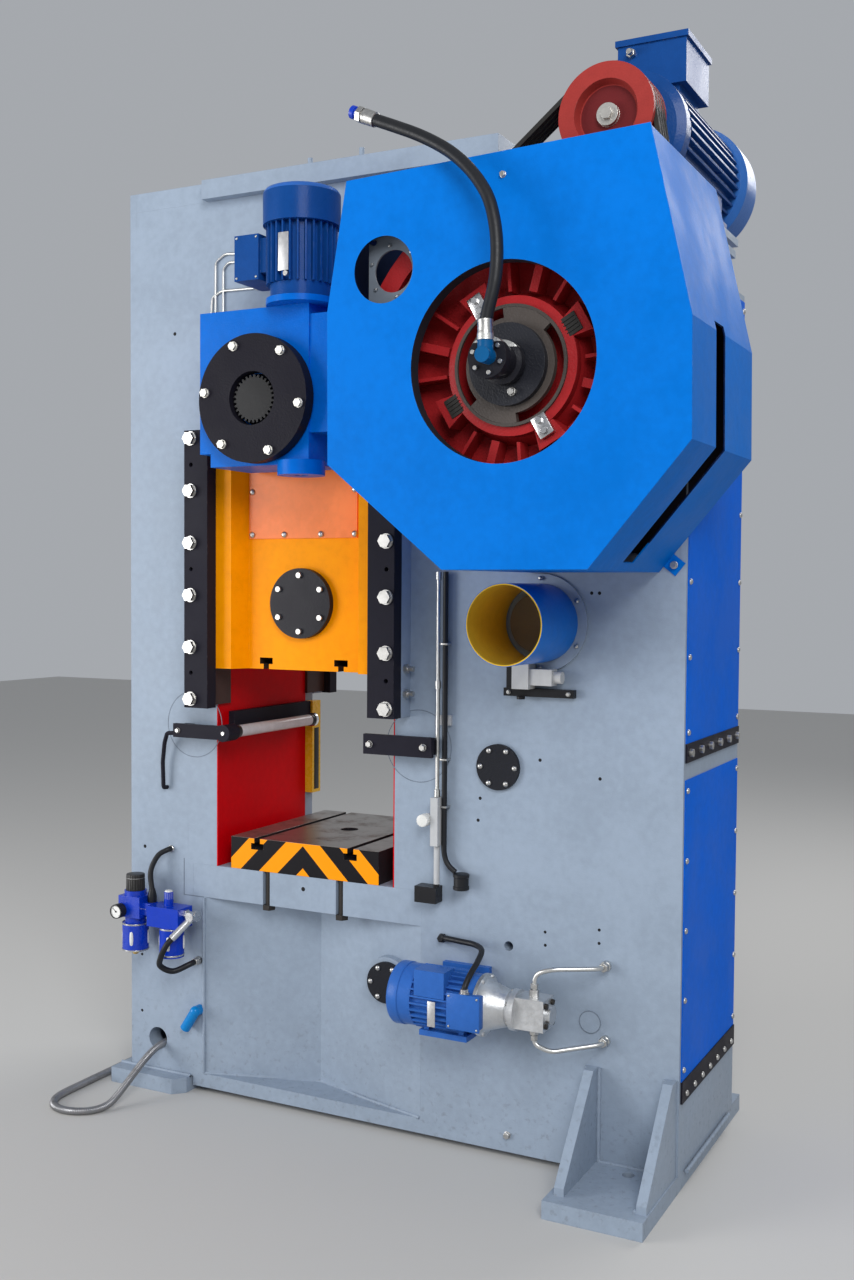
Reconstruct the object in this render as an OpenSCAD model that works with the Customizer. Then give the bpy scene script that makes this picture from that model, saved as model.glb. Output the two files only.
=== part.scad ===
// Closed-frame mechanical stamping press with a toggle-driven slide.
// X runs to the right, Y to the rear and Z up. Sizes are in millimetres.
// Places are measured from the frame's left edge, its front face and the floor.

/* [Frame] */
// Width of the frame over its side walls
frame_w = 1895; // [1880:1:1940]
// Depth of the frame over its front and rear plates
frame_d = 582; // [570:1:610]
// Thickness of the front and rear plates
plate_t = 60; // [54:1:64]
// Thickness of the column walls
wall_t = 30; // [24:1:34]
// Height of the crown's top
crown_top = 2950; // [2940:1:2990]
// Thickness of the crown plate
crown_t = 60; // [50:1:70]
// Width of the high part under the crown plate
crown_w = 1343; // [1330:1:1370]
// Height of the deck beside the crown
deck_top = 2560; // [2550:1:2570]
// Thickness of the deck plate
deck_t = 30; // [24:1:36]
// Thickness of the foot plates
foot_t = 50; // [44:1:56]
// Reach of the right foot in front of the frame
foot_reach = 303; // [290:1:320]
// Reach of the right foot behind the frame
foot_back = 108; // [96:1:130]
// Radius of the anchor holes in the right foot
anchor_r = 17; // [12:1:20]

/* [Window and bed] */
// Distance of the window from the frame's left edge
window_x = 350; // [346:1:356]
// Width of the window
window_w = 654; // [650:1:664]
// Gap between the slide's top and the window's top edge
window_gap = 10; // [6:1:20]
// Height of the bed's top
bed_top = 757; // [750:1:765]
// Thickness of the bed plate
bed_t = 107; // [100:1:112]
// Width of the bed plate
bed_w = 842; // [836:1:860]
// Depth of the recess under the bed
recess_d = 115; // [100:1:125]
// Width of the bolster plate
bolster_w = 544; // [520:1:560]
// Thickness of the bolster plate
bolster_t = 103; // [98:1:108]
// Radius of the hole through the bolster
bolster_hole_r = 30; // [20:1:40]
// Spacing of the bolster's slots
bolster_slots = 344; // [320:1:360]
// Width of the neck of a slot
slot_neck = 22; // [18:1:26]
// Width of the foot of a slot
slot_foot = 46; // [40:1:50]

/* [Slide and guides] */
// Height of the slide's underside at the top of the stroke
slide_bottom = 1404; // [1400:1:1410]
// Height of the slide's body
slide_h = 696; // [690:1:700]
// Stroke of the slide
stroke = 130; // [100:1:130]
// Height of the rails' lower end over the slide's lowest place
rail_short = 5; // [0:1:20]
// Gap between the slide and its guides
guide_gap = 0.1; // [0.05:0.01:0.2]
// Width of the gib rails
rail_w = 55; // [50:1:60]
// Depth of the gib rails in front of the frame
rail_d = 59; // [55:1:62]
// Thickness of the keepers
keeper_t = 46; // [42:1:50]
// Width of the keepers
keeper_w = 89; // [84:1:94]
// Thickness of the bronze liners
liner_t = 10; // [8:1:12]
// Height of the rails' upper end over the window
rail_over = 44; // [36:1:50]
// Pitch of the keeper bolts
keeper_pitch = 164; // [158:1:166]
// Width across the flats of the keeper bolts
keeper_bolt = 36; // [30:1:38]

/* [Toggle] */
// Height of the upper pivot over the slide's top
pivot_rise = 112; // [110:1:116]
// Distance between the upper pivot and the slide's pin at the top of the stroke
pivot_span = 599; // [596:1:602]
// Length of each link between its pivots
link_l = 364.5; // [364.5:0.1:370]
// Radius of the upper pivot shaft
pivot_r = 70; // [66:1:72]
// Radius of the slide's pin
pin_r = 55; // [50:1:58]
// Radius of the knuckle
knuckle_r = 75; // [72:1:76]
// Thickness of the links
link_t = 160; // [150:1:164]
// Running clearance of shafts and pins in their bores
run_gap = 0.05; // [0.03:0.01:0.08]
// Radius of the round cover over the slide's pin
pin_cover_r = 109; // [104:1:112]

/* [Drive] */
// Distance of the flywheel's axis from the frame's left edge
drive_x = 1590; // [1586:1:1594]
// Height of the flywheel's axis
drive_z = 2212; // [2208:1:2216]
// Distance of the crankshaft from the frame's left edge
crank_x = 1476; // [1472:1:1480]
// Height of the crankshaft
crank_z = 1567; // [1562:1:1572]
// Throw of the crank
crank_throw = 81; // [70:1:85]
// Radius of the crankshaft's journals
crank_r = 60; // [54:1:62]
// Radius of the drive shaft and the countershaft
shaft_r = 45; // [40:1:46]
// Radius of the flywheel
wheel_r = 440; // [434:1:444]
// Width of the flywheel's rim
wheel_w = 130; // [126:1:134]
// Distance of the flywheel's front from the frame
wheel_front = 485; // [480:1:488]
// Number of ribs in each quarter of the flywheel
wheel_ribs = 3; // [2:1:4]
// Outer radius of the quill that carries the flywheel
quill_r = 90; // [84:1:94]
// Number of belts
belt_count = 4; // [2:1:4]
// Pitch of the belt grooves
belt_pitch = 20; // [19:1:21]
// Distance of the motor's axis from the frame's left edge
motor_x = 1814; // [1808:1:1816]
// Height of the motor's axis
motor_z = 2803; // [2798:1:2812]
// Radius of the motor pulley
pulley_r = 120; // [112:1:124]
// Radius of the motor's barrel
motor_r = 150; // [144:1:152]
// Distance of the guard's front from the frame
guard_front = 560; // [556:1:575]
// Thickness of the guard's sheet
guard_t = 4; // [3:0.5:5]
// Radius of the opening in the guard's front
guard_hole_r = 250; // [240:1:256]

/* [Gears] */
// Module of the fast gear pair
fast_module = 10; // [10:1:10]
// Module of the slow gear pair
slow_module = 14; // [14:1:14]
// Width of the fast gear pair
fast_face = 70; // [60:1:76]
// Width of the slow gear pair
slow_face = 80; // [70:1:90]
// Gap left on each flank of a tooth
flank_gap = 0.25; // [0.15:0.05:0.4]

/* [Slide adjustment] */
// Radius of the round flange on the adjuster
flange_r = 187; // [180:1:192]
// Distance of the flange's front from the frame
flange_front = 285; // [282:1:292]
// Distance of the adjuster's worm from the frame
worm_y = 200; // [196:1:204]
// Distance of the worm from the pivot's axis
worm_off = 118; // [116:1:121]
// Radius of the adjuster's motor
adjust_r = 104; // [98:1:108]

/* [Guards and services] */
// Radius of the shaft guard
tube_r = 112; // [106:1:116]
// Length of the shaft guard
tube_l = 270; // [250:1:280]
// Radius of the air hose
hose_r = 15.5;
// Radius of the cable conduit
conduit_r = 12;
// Radius of the cable hole
cable_hole_r = 37; // [32:1:42]
// Radius of the thin steel tubes
thin_r = 4; // [3:0.5:5]
// Radius of the pump's steel pipes
pipe_r = 7; // [6:0.5:8]

/* [Hidden] */
$fn = 48;

// Frame values
crown_z = crown_top - crown_t;
deck_z = deck_top - deck_t;
sole_z = 20;
bed_x = window_x + window_w / 2 - bed_w / 2;
bed_low = bed_top - bed_t;
axis_x = window_x + window_w / 2;
window_end = window_x + window_w;
recess_x = 299;
recess_end = bed_x + bed_w;
recess_low = 65;
recess_t = 20;
recess_cover = [980, 464];
recess_cover_y = 2;
foot_left_x = -38;
foot_left_end = 247;
foot_right_x = frame_w - 280;
anchor_x = frame_w - 126;
guard_end = motor_x + 251;
union_front = 680;
mid_x = (foot_left_x + guard_end) / 2;
mid_y = (frame_d + foot_back - union_front) / 2;
eps = 1;
strip_low = 1192.4;
strip_top = 1244.5;
low_strip = 250;
low_strip_top = 311.4;

// Guide values
slide_top = slide_bottom + slide_h;
window_top = slide_top + window_gap;
rail_bottom = slide_bottom - stroke + rail_short;
rail_top = window_top + rail_over;
liner_red_t = 4;
rail_x = window_x + liner_red_t - rail_w;
keeper_bolt_x = 325;
keeper_bolt_low = rail_bottom + 29;
keeper_bolt_count = 6;
slide_x = window_x + liner_red_t + liner_t + guide_gap;
slide_end = 2 * axis_x - slide_x;
band_d = rail_d - guide_gap;
band_end = 446;
ramp_end = 474;
pocket_x = 577;
pocket_end = slide_end - 13;
pocket_gap = 6;

// Toggle values
pivot_z = slide_top + pivot_rise;
pin_z = pivot_z - pivot_span;
pocket_low = pin_z - 103;
toggle_angle = acos((pivot_z - pin_z) / 2 / link_l);
knuckle_x = axis_x + link_l * sin(toggle_angle);
knuckle_z = (pivot_z + pin_z) / 2;
link_y = frame_d / 2 - link_t / 2;
saddle_gap = 0.3;
saddle_t = 11;
saddle_half = 54;

// Drive values
fast_wheel = 52;
fast_pinion = 14;
slow_wheel = 38;
slow_pinion = 12;
fast_c = fast_module * (fast_wheel + fast_pinion) / 2;
slow_c = slow_module * (slow_wheel + slow_pinion) / 2;
drive_at = [drive_x, drive_z];
crank_at = [crank_x, crank_z];
counter_at = meet(drive_at, fast_c, crank_at, slow_c);
fast_y = 384;
slow_y = plate_t + 40;
bush_t = 15;
press_angle = 25;
addendum = 0.8;
dedendum = 1.1;
wheel_back = wheel_front - wheel_w;
belt_y = wheel_back + 15;
belt_w = 13;
belt_h = 11;
belt_gap = 0.3;
groove_d = 12;
hub_ring_r = 150;
hub_ring_t = 8;
pad_r = 220;
spider_r = 118;
spider_gap = 0.4;
spider_t = 18;
cap_r = 101;
clutch_y = 505;
cap_front = 525;
nose_r = 20;
worm_r = 20;
union_r = 50;
adjust_top = pivot_z + 268;
adjust_low = pivot_z - 192;

// The air hose's route, from the union's elbow to its free end
hose_route = [
  [1595, -660, 2262], [1595, -660, 2284], [1601, -660, 2316], [1612, -659, 2358], [1619, -657, 2400],
  [1619, -652, 2460], [1610, -645, 2520], [1590, -635, 2580], [1560, -624, 2628],
  [1520, -612, 2674], [1475, -602, 2714], [1425, -592, 2748], [1370, -584, 2779],
  [1312, -580, 2806], [1260, -577, 2829], [1220, -575, 2847]
];
// The conduit's route, from the cable hole down to the floor and round to the rear
conduit_route = [
  [132, 90, 139], [132, 45, 139], [132, 0, 139], [130, -45, 131], [128, -90, 112],
  [126, -135, 86], [124, -178, 60], [122, -215, 38], [118, -250, 20], [108, -284, 13],
  [86, -318, 12], [50, -341, 12], [8, -348, 12], [-34, -336, 12], [-64, -308, 12],
  [-81, -270, 12], [-86, -222, 12], [-86, -170, 12], [-86, -120, 12], [-86, -50, 12],
  [-86, 20, 12], [-86, 90, 12], [-86, 160, 12], [-86, 230, 12], [-86, 300, 12],
  [-86, 370, 12], [-86, 440, 12], [-86, 510, 12], [-86, 580, 12], [-86, 650, 12],
  [-86, 720, 12], [-86, 790, 12], [-86, 850, 12]
];
coil_r = 135;
coil_at = [-86 + coil_r, 880];

// Crossing point of two circles, on their left side seen from the first
function meet(a, ra, b, rb) =
  let (d = b - a, l = norm(d), k = (ra * ra - rb * rb + l * l) / (2 * l), h = sqrt(ra * ra - k * k))
  a + d / l * k + [d.y, -d.x] / l * h;
function heading(a, b) = atan2(b.y - a.y, b.x - a.x);
function unit(v) = v / norm(v);
function polar(r, a) = [r * cos(a), r * sin(a)];

// Whole model to its own origin, on the floor under the middle of its outline
module place() translate([-mid_x, -mid_y, 0]) children();

// Box between its low and its high corner
module slab(low, high) translate(low) cube(high - low);

// Outline in X and Z, extruded to the rear from y over the depth t
module sheet(y, t) translate([0, y + t, 0]) rotate([90, 0, 0]) linear_extrude(t) children();

module rod(p, r, l) translate(p) rotate([-90, 0, 0]) cylinder(r = r, h = l);

module rod_x(p, r, l) translate(p) rotate([0, 90, 0]) cylinder(r = r, h = l);

module rod_z(p, r, l) translate(p) cylinder(r = r, h = l);

// Profile of radius and depth, turned about an axis along Y
module turned(p) translate(p) rotate([-90, 0, 0]) rotate_extrude() children();

module ring(p, n, r, first = 0) {
  for (i = [0:n - 1]) {
    translate(p) rotate([0, first + i * 360 / n, 0]) translate([r, 0, 0]) children();
  }
}

// Hexagon bolt on a face that looks to the front, with its washer
module bolt(p, across, head) {
  rod([p.x, p.y - 4, p.z], across * 0.62, 4);
  translate([p.x, p.y - 4 - head, p.z]) rotate([-90, 0, 0])
    cylinder(d = across / cos(30), h = head, $fn = 6);
}

// Round bar between two points
module bar(a, b, r) {
  d = b - a;
  l = norm(d);
  translate(a) rotate([0, acos(d.z / l), atan2(d.y, d.x)]) cylinder(r = r, h = l);
}

// Point i of a route, its direction, and a side vector carried along without twist
function along(p, i) = unit(p[min(i + 1, len(p) - 1)] - p[max(i - 1, 0)]);
function sides(p, i, u) =
  i == len(p) ? [] : let (t = along(p, i), w = unit(u - t * (u * t))) concat([w], sides(p, i + 1, w));

// Round tube of n sides along a route
module sweep(p, r, n) {
  w = sides(p, 0, abs(along(p, 0).z) > 0.9 ? [1, 0, 0] : [0, 0, 1]);
  m = len(p);
  points = [
    for (i = [0:m - 1], k = [0:n - 1])
      let (t = along(p, i), a = 360 * k / n) p[i] + r * (cos(a) * w[i] + sin(a) * cross(t, w[i]))
  ];
  walls = [
    for (i = [0:m - 2], k = [0:n - 1])
      let (j = (k + 1) % n) [i * n + k, (i + 1) * n + k, (i + 1) * n + j, i * n + j]
  ];
  first_end = [for (k = [0:n - 1]) k];
  last_end = [for (k = [n - 1:-1:0]) (m - 1) * n + k];
  polyhedron(points, concat(walls, [first_end, last_end]));
}

// Corners of a route, rounded over the distance d on either side
function eased(p, d) = [
  p[0],
  for (i = [1:len(p) - 2])
    let (a = p[i] + unit(p[i - 1] - p[i]) * d, b = p[i] + unit(p[i + 1] - p[i]) * d)
    for (s = [0:0.25:1]) a * pow(1 - s, 2) + p[i] * 2 * s * (1 - s) + b * s * s,
  p[len(p) - 1]
];

// Bent tube with eased corners
module run(points, r, ease) sweep(eased(points, ease), r, 8);

module to_rear() translate([0, frame_d, 0]) mirror([0, 1, 0]) children();

module both_sides() {
  children();
  translate([2 * axis_x, 0, 0]) mirror([1, 0, 0]) children();
}

// Outline of the front and rear frame plates
module frame_outline() {
  polygon([
    [0, foot_t], [foot_left_end + 8, foot_t], [foot_left_end + 8, sole_z], [foot_right_x, sole_z],
    [foot_right_x, foot_t], [frame_w, foot_t], [frame_w, deck_top], [crown_w, deck_top],
    [crown_w, crown_z], [0, crown_z]
  ]);
}

module window_cut(low) translate([window_x, low]) square([window_w, window_top - low]);

module hole_at(p, r) translate(p) circle(r = r);

module frame_front() color("lightsteelblue") place() {
  difference() {
    sheet(0, plate_t) difference() {
      frame_outline();
      window_cut(bed_top - eps);
      translate([bed_x, bed_low]) square([bed_w, bed_t]);
      translate([recess_x, recess_low]) square([recess_end - recess_x, bed_low - recess_low + eps]);
      hole_at([axis_x, pivot_z], pivot_r + bush_t);
      hole_at(crank_at, crank_r + bush_t);
      hole_at(drive_at, quill_r + 10);
      hole_at([111, 153], cable_hole_r);
      hole_at([1383, 627], 14);
    }
    rod([counter_at.x, plate_t / 4, counter_at.y], shaft_r + bush_t, plate_t);
  }
}

module frame_rear() color("lightsteelblue") place() {
  sheet(frame_d - plate_t, plate_t) difference() {
    frame_outline();
    window_cut(bed_top);
    hole_at([axis_x, pivot_z], pivot_r + bush_t);
    hole_at(crank_at, crank_r + bush_t);
    hole_at(drive_at, shaft_r + bush_t);
    hole_at(counter_at, shaft_r + bush_t);
  }
}

module frame_walls() color("lightsteelblue") place() {
  near = plate_t;
  far = frame_d - plate_t;
  slab([0, near, foot_t], [wall_t, far, crown_z]);
  slab([window_x - wall_t, near, bed_top], [window_x, far, crown_z]);
  slab([window_end, near, bed_top], [window_end + wall_t, far, crown_z]);
  slab([crown_w - wall_t, near, deck_top], [crown_w, far, crown_z]);
  slab([window_end + wall_t, near, deck_z], [frame_w, far, deck_top]);
  for (z = [[foot_t, 340], [1100, 1290], [2400, deck_z]]) {
    slab([frame_w - wall_t, near, z[0]], [frame_w, far, z[1]]);
  }
}

module crown_plate() color("lightsteelblue") place() {
  slab([0, 0, crown_z], [crown_w, frame_d, crown_top]);
  slab([314, -35, crown_z], [crown_w, 0, crown_top]);
  for (p = [[705, 22], [886, 28]]) rod_z([p[0], -12, crown_top], 8, p[1]);
}

module bed_plate() color("lightsteelblue") place() {
  difference() {
    slab([bed_x, 0, bed_low], [bed_x + bed_w, frame_d - plate_t, bed_top]);
    rod_z([axis_x, frame_d / 2, bed_low - eps], bolster_hole_r + 15, bed_t + 2 * eps);
    both_sides() slab([529, -eps, bed_low - eps], [555, 30, bed_top + eps]);
  }
}

// V-shaped recess under the bed, folded from two plates over a base plate
module bed_recess() color("lightsteelblue") place() {
  translate([0, 0, recess_low]) linear_extrude(bed_low - recess_low) polygon([
    [recess_x, 0], [axis_x, recess_d], [recess_end, 0],
    [recess_end, recess_t], [axis_x, recess_d + recess_t], [recess_x, recess_t]
  ]);
  slab([foot_left_end + 8, plate_t, sole_z], [foot_right_x, frame_d - plate_t, recess_low]);
  difference() {
    rod([recess_cover.x, recess_cover_y, recess_cover.y], 76, 60);
    translate([0, 0, recess_low]) linear_extrude(bed_low - recess_low) polygon([
      [axis_x - eps, recess_d + recess_t], [recess_end, recess_t], [recess_end, 200], [axis_x - eps, 200]
    ]);
  }
}

module foot_left() color("lightsteelblue") place() {
  translate([0, -60, 0]) linear_extrude(foot_t) polygon([
    [foot_left_x, 0], [foot_left_end - 35, 0], [foot_left_end, 35],
    [foot_left_end, 120 + frame_d], [foot_left_x, 120 + frame_d]
  ]);
}

module foot_right() color("lightsteelblue") place() {
  difference() {
    union() {
      slab([foot_right_x, -foot_reach, 0], [frame_w - 2, frame_d + foot_back, foot_t]);
      for (x = [foot_right_x + 18, frame_w - 34]) {
        translate([x, 0, 0]) rotate([90, 0, 90]) linear_extrude(28) polygon([
          [0, foot_t], [0, 319], [-40, 319], [-foot_reach + 43, foot_t + 22], [-foot_reach + 43, foot_t]
        ]);
      }
    }
    for (y = [-48, frame_d + 54]) rod_z([anchor_x, y, -eps], anchor_r, foot_t + 2 * eps);
  }
}

module gib_rails() color("lightsteelblue") place() {
  both_sides() {
    slab([rail_x, -rail_d, rail_bottom], [rail_x + rail_w, 0, rail_top]);
    to_rear() slab([rail_x, -rail_d, rail_bottom], [rail_x + rail_w, 0, rail_top]);
  }
}

module keeper() {
  difference() {
    slab([rail_x, -rail_d - keeper_t, rail_bottom], [rail_x + keeper_w, -rail_d, rail_top]);
    for (i = [0:2]) {
      z = keeper_bolt_low + keeper_pitch * (i * 2 + 0.5);
      rod([keeper_bolt_x, -rail_d - keeper_t - eps, z], 7, 26);
    }
  }
}

module gib_keepers() color("dimgray") place() {
  both_sides() {
    keeper();
    to_rear() keeper();
  }
}

module liner() {
  x = window_x + liner_red_t;
  slab([x, -rail_d + 2, rail_bottom + 6], [x + liner_t, plate_t - 3, window_top - 5]);
}

module gib_liners() color("darkgoldenrod") place() {
  both_sides() {
    liner();
    to_rear() liner();
  }
}

module window_liners() color("crimson") place() {
  both_sides() slab([window_x, 0, bed_top], [window_x + liner_red_t, frame_d - 54, window_top]);
}

module side_panels() color("royalblue") place() {
  slab([frame_w, 12, strip_top], [frame_w + 3, frame_d - 7, deck_top - 20]);
  slab([frame_w, 12, low_strip_top], [frame_w + 3, frame_d - 7, 1144.6]);
}

module side_strips() color("dimgray") place() {
  slab([frame_w, 12, strip_low], [frame_w + 6, frame_d - 7, strip_top]);
  slab([frame_w, 12, low_strip], [frame_w + 6, frame_d - 7, low_strip_top]);
}

// Round cover with six cap screws, on a face that looks to the front
module round_cover(p, r) {
  difference() {
    rod([p.x, p.y - 12, p.z], r, 12);
    ring(p, 6, r - 13) rod([0, -13, 0], 5.5, 9);
  }
  ring([p.x, p.y - 5, p.z], 6, r - 13) rod([0, -4, 0], 5.4, 5);
}

module frame_covers() color("lightslategray") place() {
  round_cover([1347, 0, 1147], 67);
  round_cover([recess_cover.x, recess_cover_y, recess_cover.y], 63);
  rod([1635, -2, 443], 32, 2);
  to_rear() {
    round_cover([axis_x, 0, pivot_z], pivot_r + 48);
    round_cover([crank_x, 0, crank_z], crank_r + 48);
    round_cover([drive_x, 0, drive_z], shaft_r + 48);
    round_cover([counter_at.x, 0, counter_at.y], shaft_r + 48);
  }
}

module keeper_bolts() {
  for (i = [0:keeper_bolt_count - 1]) {
    bolt([keeper_bolt_x, -rail_d - keeper_t, keeper_bolt_low + i * keeper_pitch], keeper_bolt, 15);
  }
}

// Adjusting screw of a gib with its lock nut, on the outer side of a rail
module gib_screw(z) {
  rod_x([rail_x - 30, -36, z], 8, 30);
  translate([rail_x - 13, -36, z]) rotate([0, 90, 0]) cylinder(d = 24 / cos(30), h = 13, $fn = 6);
}

module frame_bolts() color("silver") place() {
  both_sides() {
    keeper_bolts();
    to_rear() keeper_bolts();
    for (z = [1350, 1424]) gib_screw(z);
  }
  for (p = [[845, 150], [930, 124]]) {
    translate([p[0], p[1], crown_top]) cylinder(d = 34 / cos(30), h = 16, $fn = 6);
  }
  for (i = [0:5]) {
    rod_x([frame_w + 6, 40 + i * 100, (strip_low + strip_top) / 2], 11, 10);
  }
}

module slot_cut(x, z, low) {
  slab([x - slot_neck / 2, -eps, z - low], [x + slot_neck / 2, frame_d + eps, z + eps]);
  slab([x - slot_foot / 2, -eps, z - low - 20], [x + slot_foot / 2, frame_d + eps, z - low]);
}

module bolster() color("orange") place() {
  top = bed_top + bolster_t;
  difference() {
    slab([axis_x - bolster_w / 2, 2, bed_top], [axis_x + bolster_w / 2, frame_d - 2, top]);
    both_sides() slot_cut(axis_x - bolster_slots / 2, top, 16);
    rod_z([axis_x, frame_d / 2, bed_top - eps], bolster_hole_r, bolster_t + 2 * eps);
    both_sides() rod_z([542, 16, bed_top - eps], 10, 30 + eps);
  }
}

module bolster_bolts() color("silver") place() {
  both_sides() {
    rod_z([542, 16, bed_low], 9.9, bed_t + 29);
    translate([542, 16, bed_low - 16]) cylinder(d = 38 / cos(30), h = 16, $fn = 6);
  }
}

// Slide body with guide bands, slots for the die and a pocket for the lower link
module slide() color("orange") place() {
  link_far = link_y + link_t;
  difference() {
    translate([0, 0, slide_bottom]) linear_extrude(slide_h) polygon([
      [slide_x, -band_d], [band_end, -band_d], [ramp_end, 0],
      [2 * axis_x - ramp_end, 0], [2 * axis_x - band_end, -band_d], [slide_end, -band_d],
      [slide_end, frame_d + band_d], [2 * axis_x - band_end, frame_d + band_d],
      [2 * axis_x - ramp_end, frame_d], [ramp_end, frame_d],
      [band_end, frame_d + band_d], [slide_x, frame_d + band_d]
    ]);
    slab([pocket_x, link_y - pocket_gap, pocket_low], [pocket_end, link_far + pocket_gap, slide_top + eps]);
    both_sides() {
      x = axis_x - 137;
      slab([x - 10, -eps, slide_bottom - eps], [x + 10, frame_d + eps, slide_bottom + 16]);
      slab([x - 24, -eps, slide_bottom + 16], [x + 24, frame_d + eps, slide_bottom + 36]);
    }
    rod_z([axis_x, frame_d / 2, slide_bottom - eps], 25, 90);
  }
  rod([axis_x, 30, pin_z], pin_r - run_gap, frame_d - 60);
}

module slide_cover() color("coral") place() {
  low = slide_top - 285;
  slab([478, -5, low], [872, 0, slide_top - 5]);
  for (x = [490, 610, 744, 864], z = [low + 12, slide_top - 14]) {
    rod([x, -8, z], 5, 3);
  }
}

module pin_cover() color("dimgray") place() {
  p = [axis_x, 0, pin_z];
  difference() {
    rod([p.x, -22, p.z], pin_cover_r, 22);
    ring(p, 6, pin_cover_r - 22, 30) rod([0, -23, 0], 9, 13);
  }
  ring([p.x, -10, p.z], 6, pin_cover_r - 22, 30) rod([0, -8, 0], 8.9, 8);
}

// Flat arm between two centres, as wide as the circles at its ends
module arm(a, ra, b, rb) {
  t = heading(a, b);
  s = [-sin(t), cos(t)];
  polygon([a + s * ra, a - s * ra, b - s * rb, b + s * rb]);
}

module upper_link() color("slategray") place() {
  a = [axis_x, pivot_z];
  k = [knuckle_x, knuckle_z];
  sheet(link_y, link_t) difference() {
    union() {
      hole_at(a, pivot_r + 38);
      arm(a, 80, k, 52);
      hole_at(k, knuckle_r);
    }
    hole_at(a, pivot_r + run_gap);
  }
}

// The knuckle rests in an open saddle, so its pivot can part when the slide goes down
module lower_link() color("slategray") place() {
  a = [axis_x, pin_z];
  k = [knuckle_x, knuckle_z];
  t = heading(k, a);
  sheet(link_y, link_t) difference() {
    union() {
      hole_at(a, pin_r + 35);
      difference() {
        union() {
          hole_at(k, knuckle_r + saddle_gap + saddle_t);
          arm(a, 66, k, 62);
        }
        polygon([
          k, k + polar(400, t + saddle_half), k + polar(600, t + 110),
          k + polar(600, t + 180), k + polar(600, t - 110), k + polar(400, t - saddle_half)
        ]);
      }
    }
    hole_at(k, knuckle_r + saddle_gap);
    hole_at(a, pin_r);
  }
}

// Upper pivot shaft, with the worm wheel that turns it for the slide's height
module pivot_shaft() color("silver") place() {
  p = [axis_x, 0, pivot_z];
  r = pivot_r - run_gap;
  rod([p.x, -flange_front + 40, p.z], r, flange_front - 40 + frame_d - 10);
  sheet(-worm_y - 25, 50) translate([axis_x, pivot_z]) circle(r = 92);
  sheet(-flange_front + 12, 30) translate([axis_x, pivot_z]) tooth_ring(30, 62, 70);
}

function tooth_points(n, low, high) = [
  for (i = [0:n - 1]) each [
    polar(low, (i + 0.05) * 360 / n), polar(high, (i + 0.2) * 360 / n),
    polar(high, (i + 0.55) * 360 / n), polar(low, (i + 0.7) * 360 / n)
  ]
];

module tooth_ring(n, low, high) polygon(tooth_points(n, low, high));

// Gearbox of the slide adjustment, round at its lower corners
module adjust_housing() color("royalblue") place() {
  back = -30;
  difference() {
    union() {
      slab([461, -240, adjust_low + 40], [845, back, adjust_top]);
      slab([500, -240, adjust_low], [845, back, adjust_low + 41]);
      slab([844, -235, adjust_low + 90], [906, back - 10, adjust_top - 30]);
      rod([axis_x, -flange_front + 40, pivot_z], flange_r - 12, flange_front - 40 - 30);
      rod([axis_x, back, pivot_z], 110, 30);
      rod_z([axis_x + worm_off, -worm_y, adjust_low - 30], 70, 43);
      rod_z([axis_x + worm_off, -worm_y, adjust_top], 104, 18);
    }
    rod([axis_x, -flange_front, pivot_z], pivot_r + 6, flange_front + 1);
    sheet(-worm_y - 30, 60) translate([axis_x, pivot_z]) circle(r = 98);
    rod_z([axis_x + worm_off, -worm_y, adjust_low - 31], worm_r + run_gap, adjust_top - adjust_low + 60);
    rod_z([axis_x + worm_off, -worm_y, pivot_z - 60], 31, 120);
  }
}

module adjust_flange() color("dimgray") place() {
  p = [axis_x, -flange_front, pivot_z];
  difference() {
    rod(p, flange_r, 40);
    rod([p.x, p.y - eps, p.z], pivot_r + 8, 42);
  }
  ring(p, 6, flange_r - 22, 8) bolt([0, 0, 0], 22, 9);
}

module adjust_motor() color("midnightblue") place() {
  p = [axis_x + worm_off, -worm_y];
  low = adjust_top + 18;
  rod_z([p.x, p.y, low], 92, 40);
  translate([p.x, p.y, low + 40]) linear_extrude(170) fins(28, adjust_r - 16, adjust_r, 5);
  rod_z([p.x, p.y, low + 210], adjust_r + 9, 90);
  slab([p.x - 199, p.y - 55, low + 62], [p.x - 115, p.y + 90, low + 194]);
  slab([p.x - 119, p.y - 45, low + 82], [p.x - adjust_r + 20, p.y + 45, low + 182]);
}

// Round body with straight cooling fins, as one outline
module fins(n, low, high, w) {
  polygon([
    for (i = [0:n - 1]) let (a = i * 360 / n, h = asin(w / 2 / high), g = asin(w / 2 / low) * 1.3)
      each [polar(low, a - g), polar(high, a - h), polar(high, a + h), polar(low, a + g)]
  ]);
}

module worm_shaft() color("silver") place() {
  x = axis_x + worm_off;
  rod_z([x, -worm_y, adjust_low - 28], worm_r, adjust_top - adjust_low + 40);
  rod_z([x, -worm_y, pivot_z - 55], 25, 110);
}

// Quill on the frame's face that carries the flywheel round the drive shaft
module bearing_housing() color("slategray") place() {
  tip = wheel_front - 15;
  turned([drive_x, 0, drive_z]) polygon([
    [shaft_r + run_gap, -tip], [quill_r, -tip], [quill_r, -40], [150, -40], [150, 0],
    [quill_r + 10, 0], [quill_r + 10, plate_t - 15], [shaft_r + run_gap, plate_t - 15],
    [shaft_r + run_gap, 5], [shaft_r + 7, 5], [shaft_r + 7, -tip + 60], [shaft_r + run_gap, -tip + 60]
  ]);
  ring([drive_x, -40, drive_z], 8, 130) bolt([0, 0, 0], 19, 8);
}

module bush(at, r, y, l) {
  difference() {
    rod([at.x, y, at.y], r + bush_t, l);
    rod([at.x, y - eps, at.y], r, l + 2 * eps);
  }
}

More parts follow.
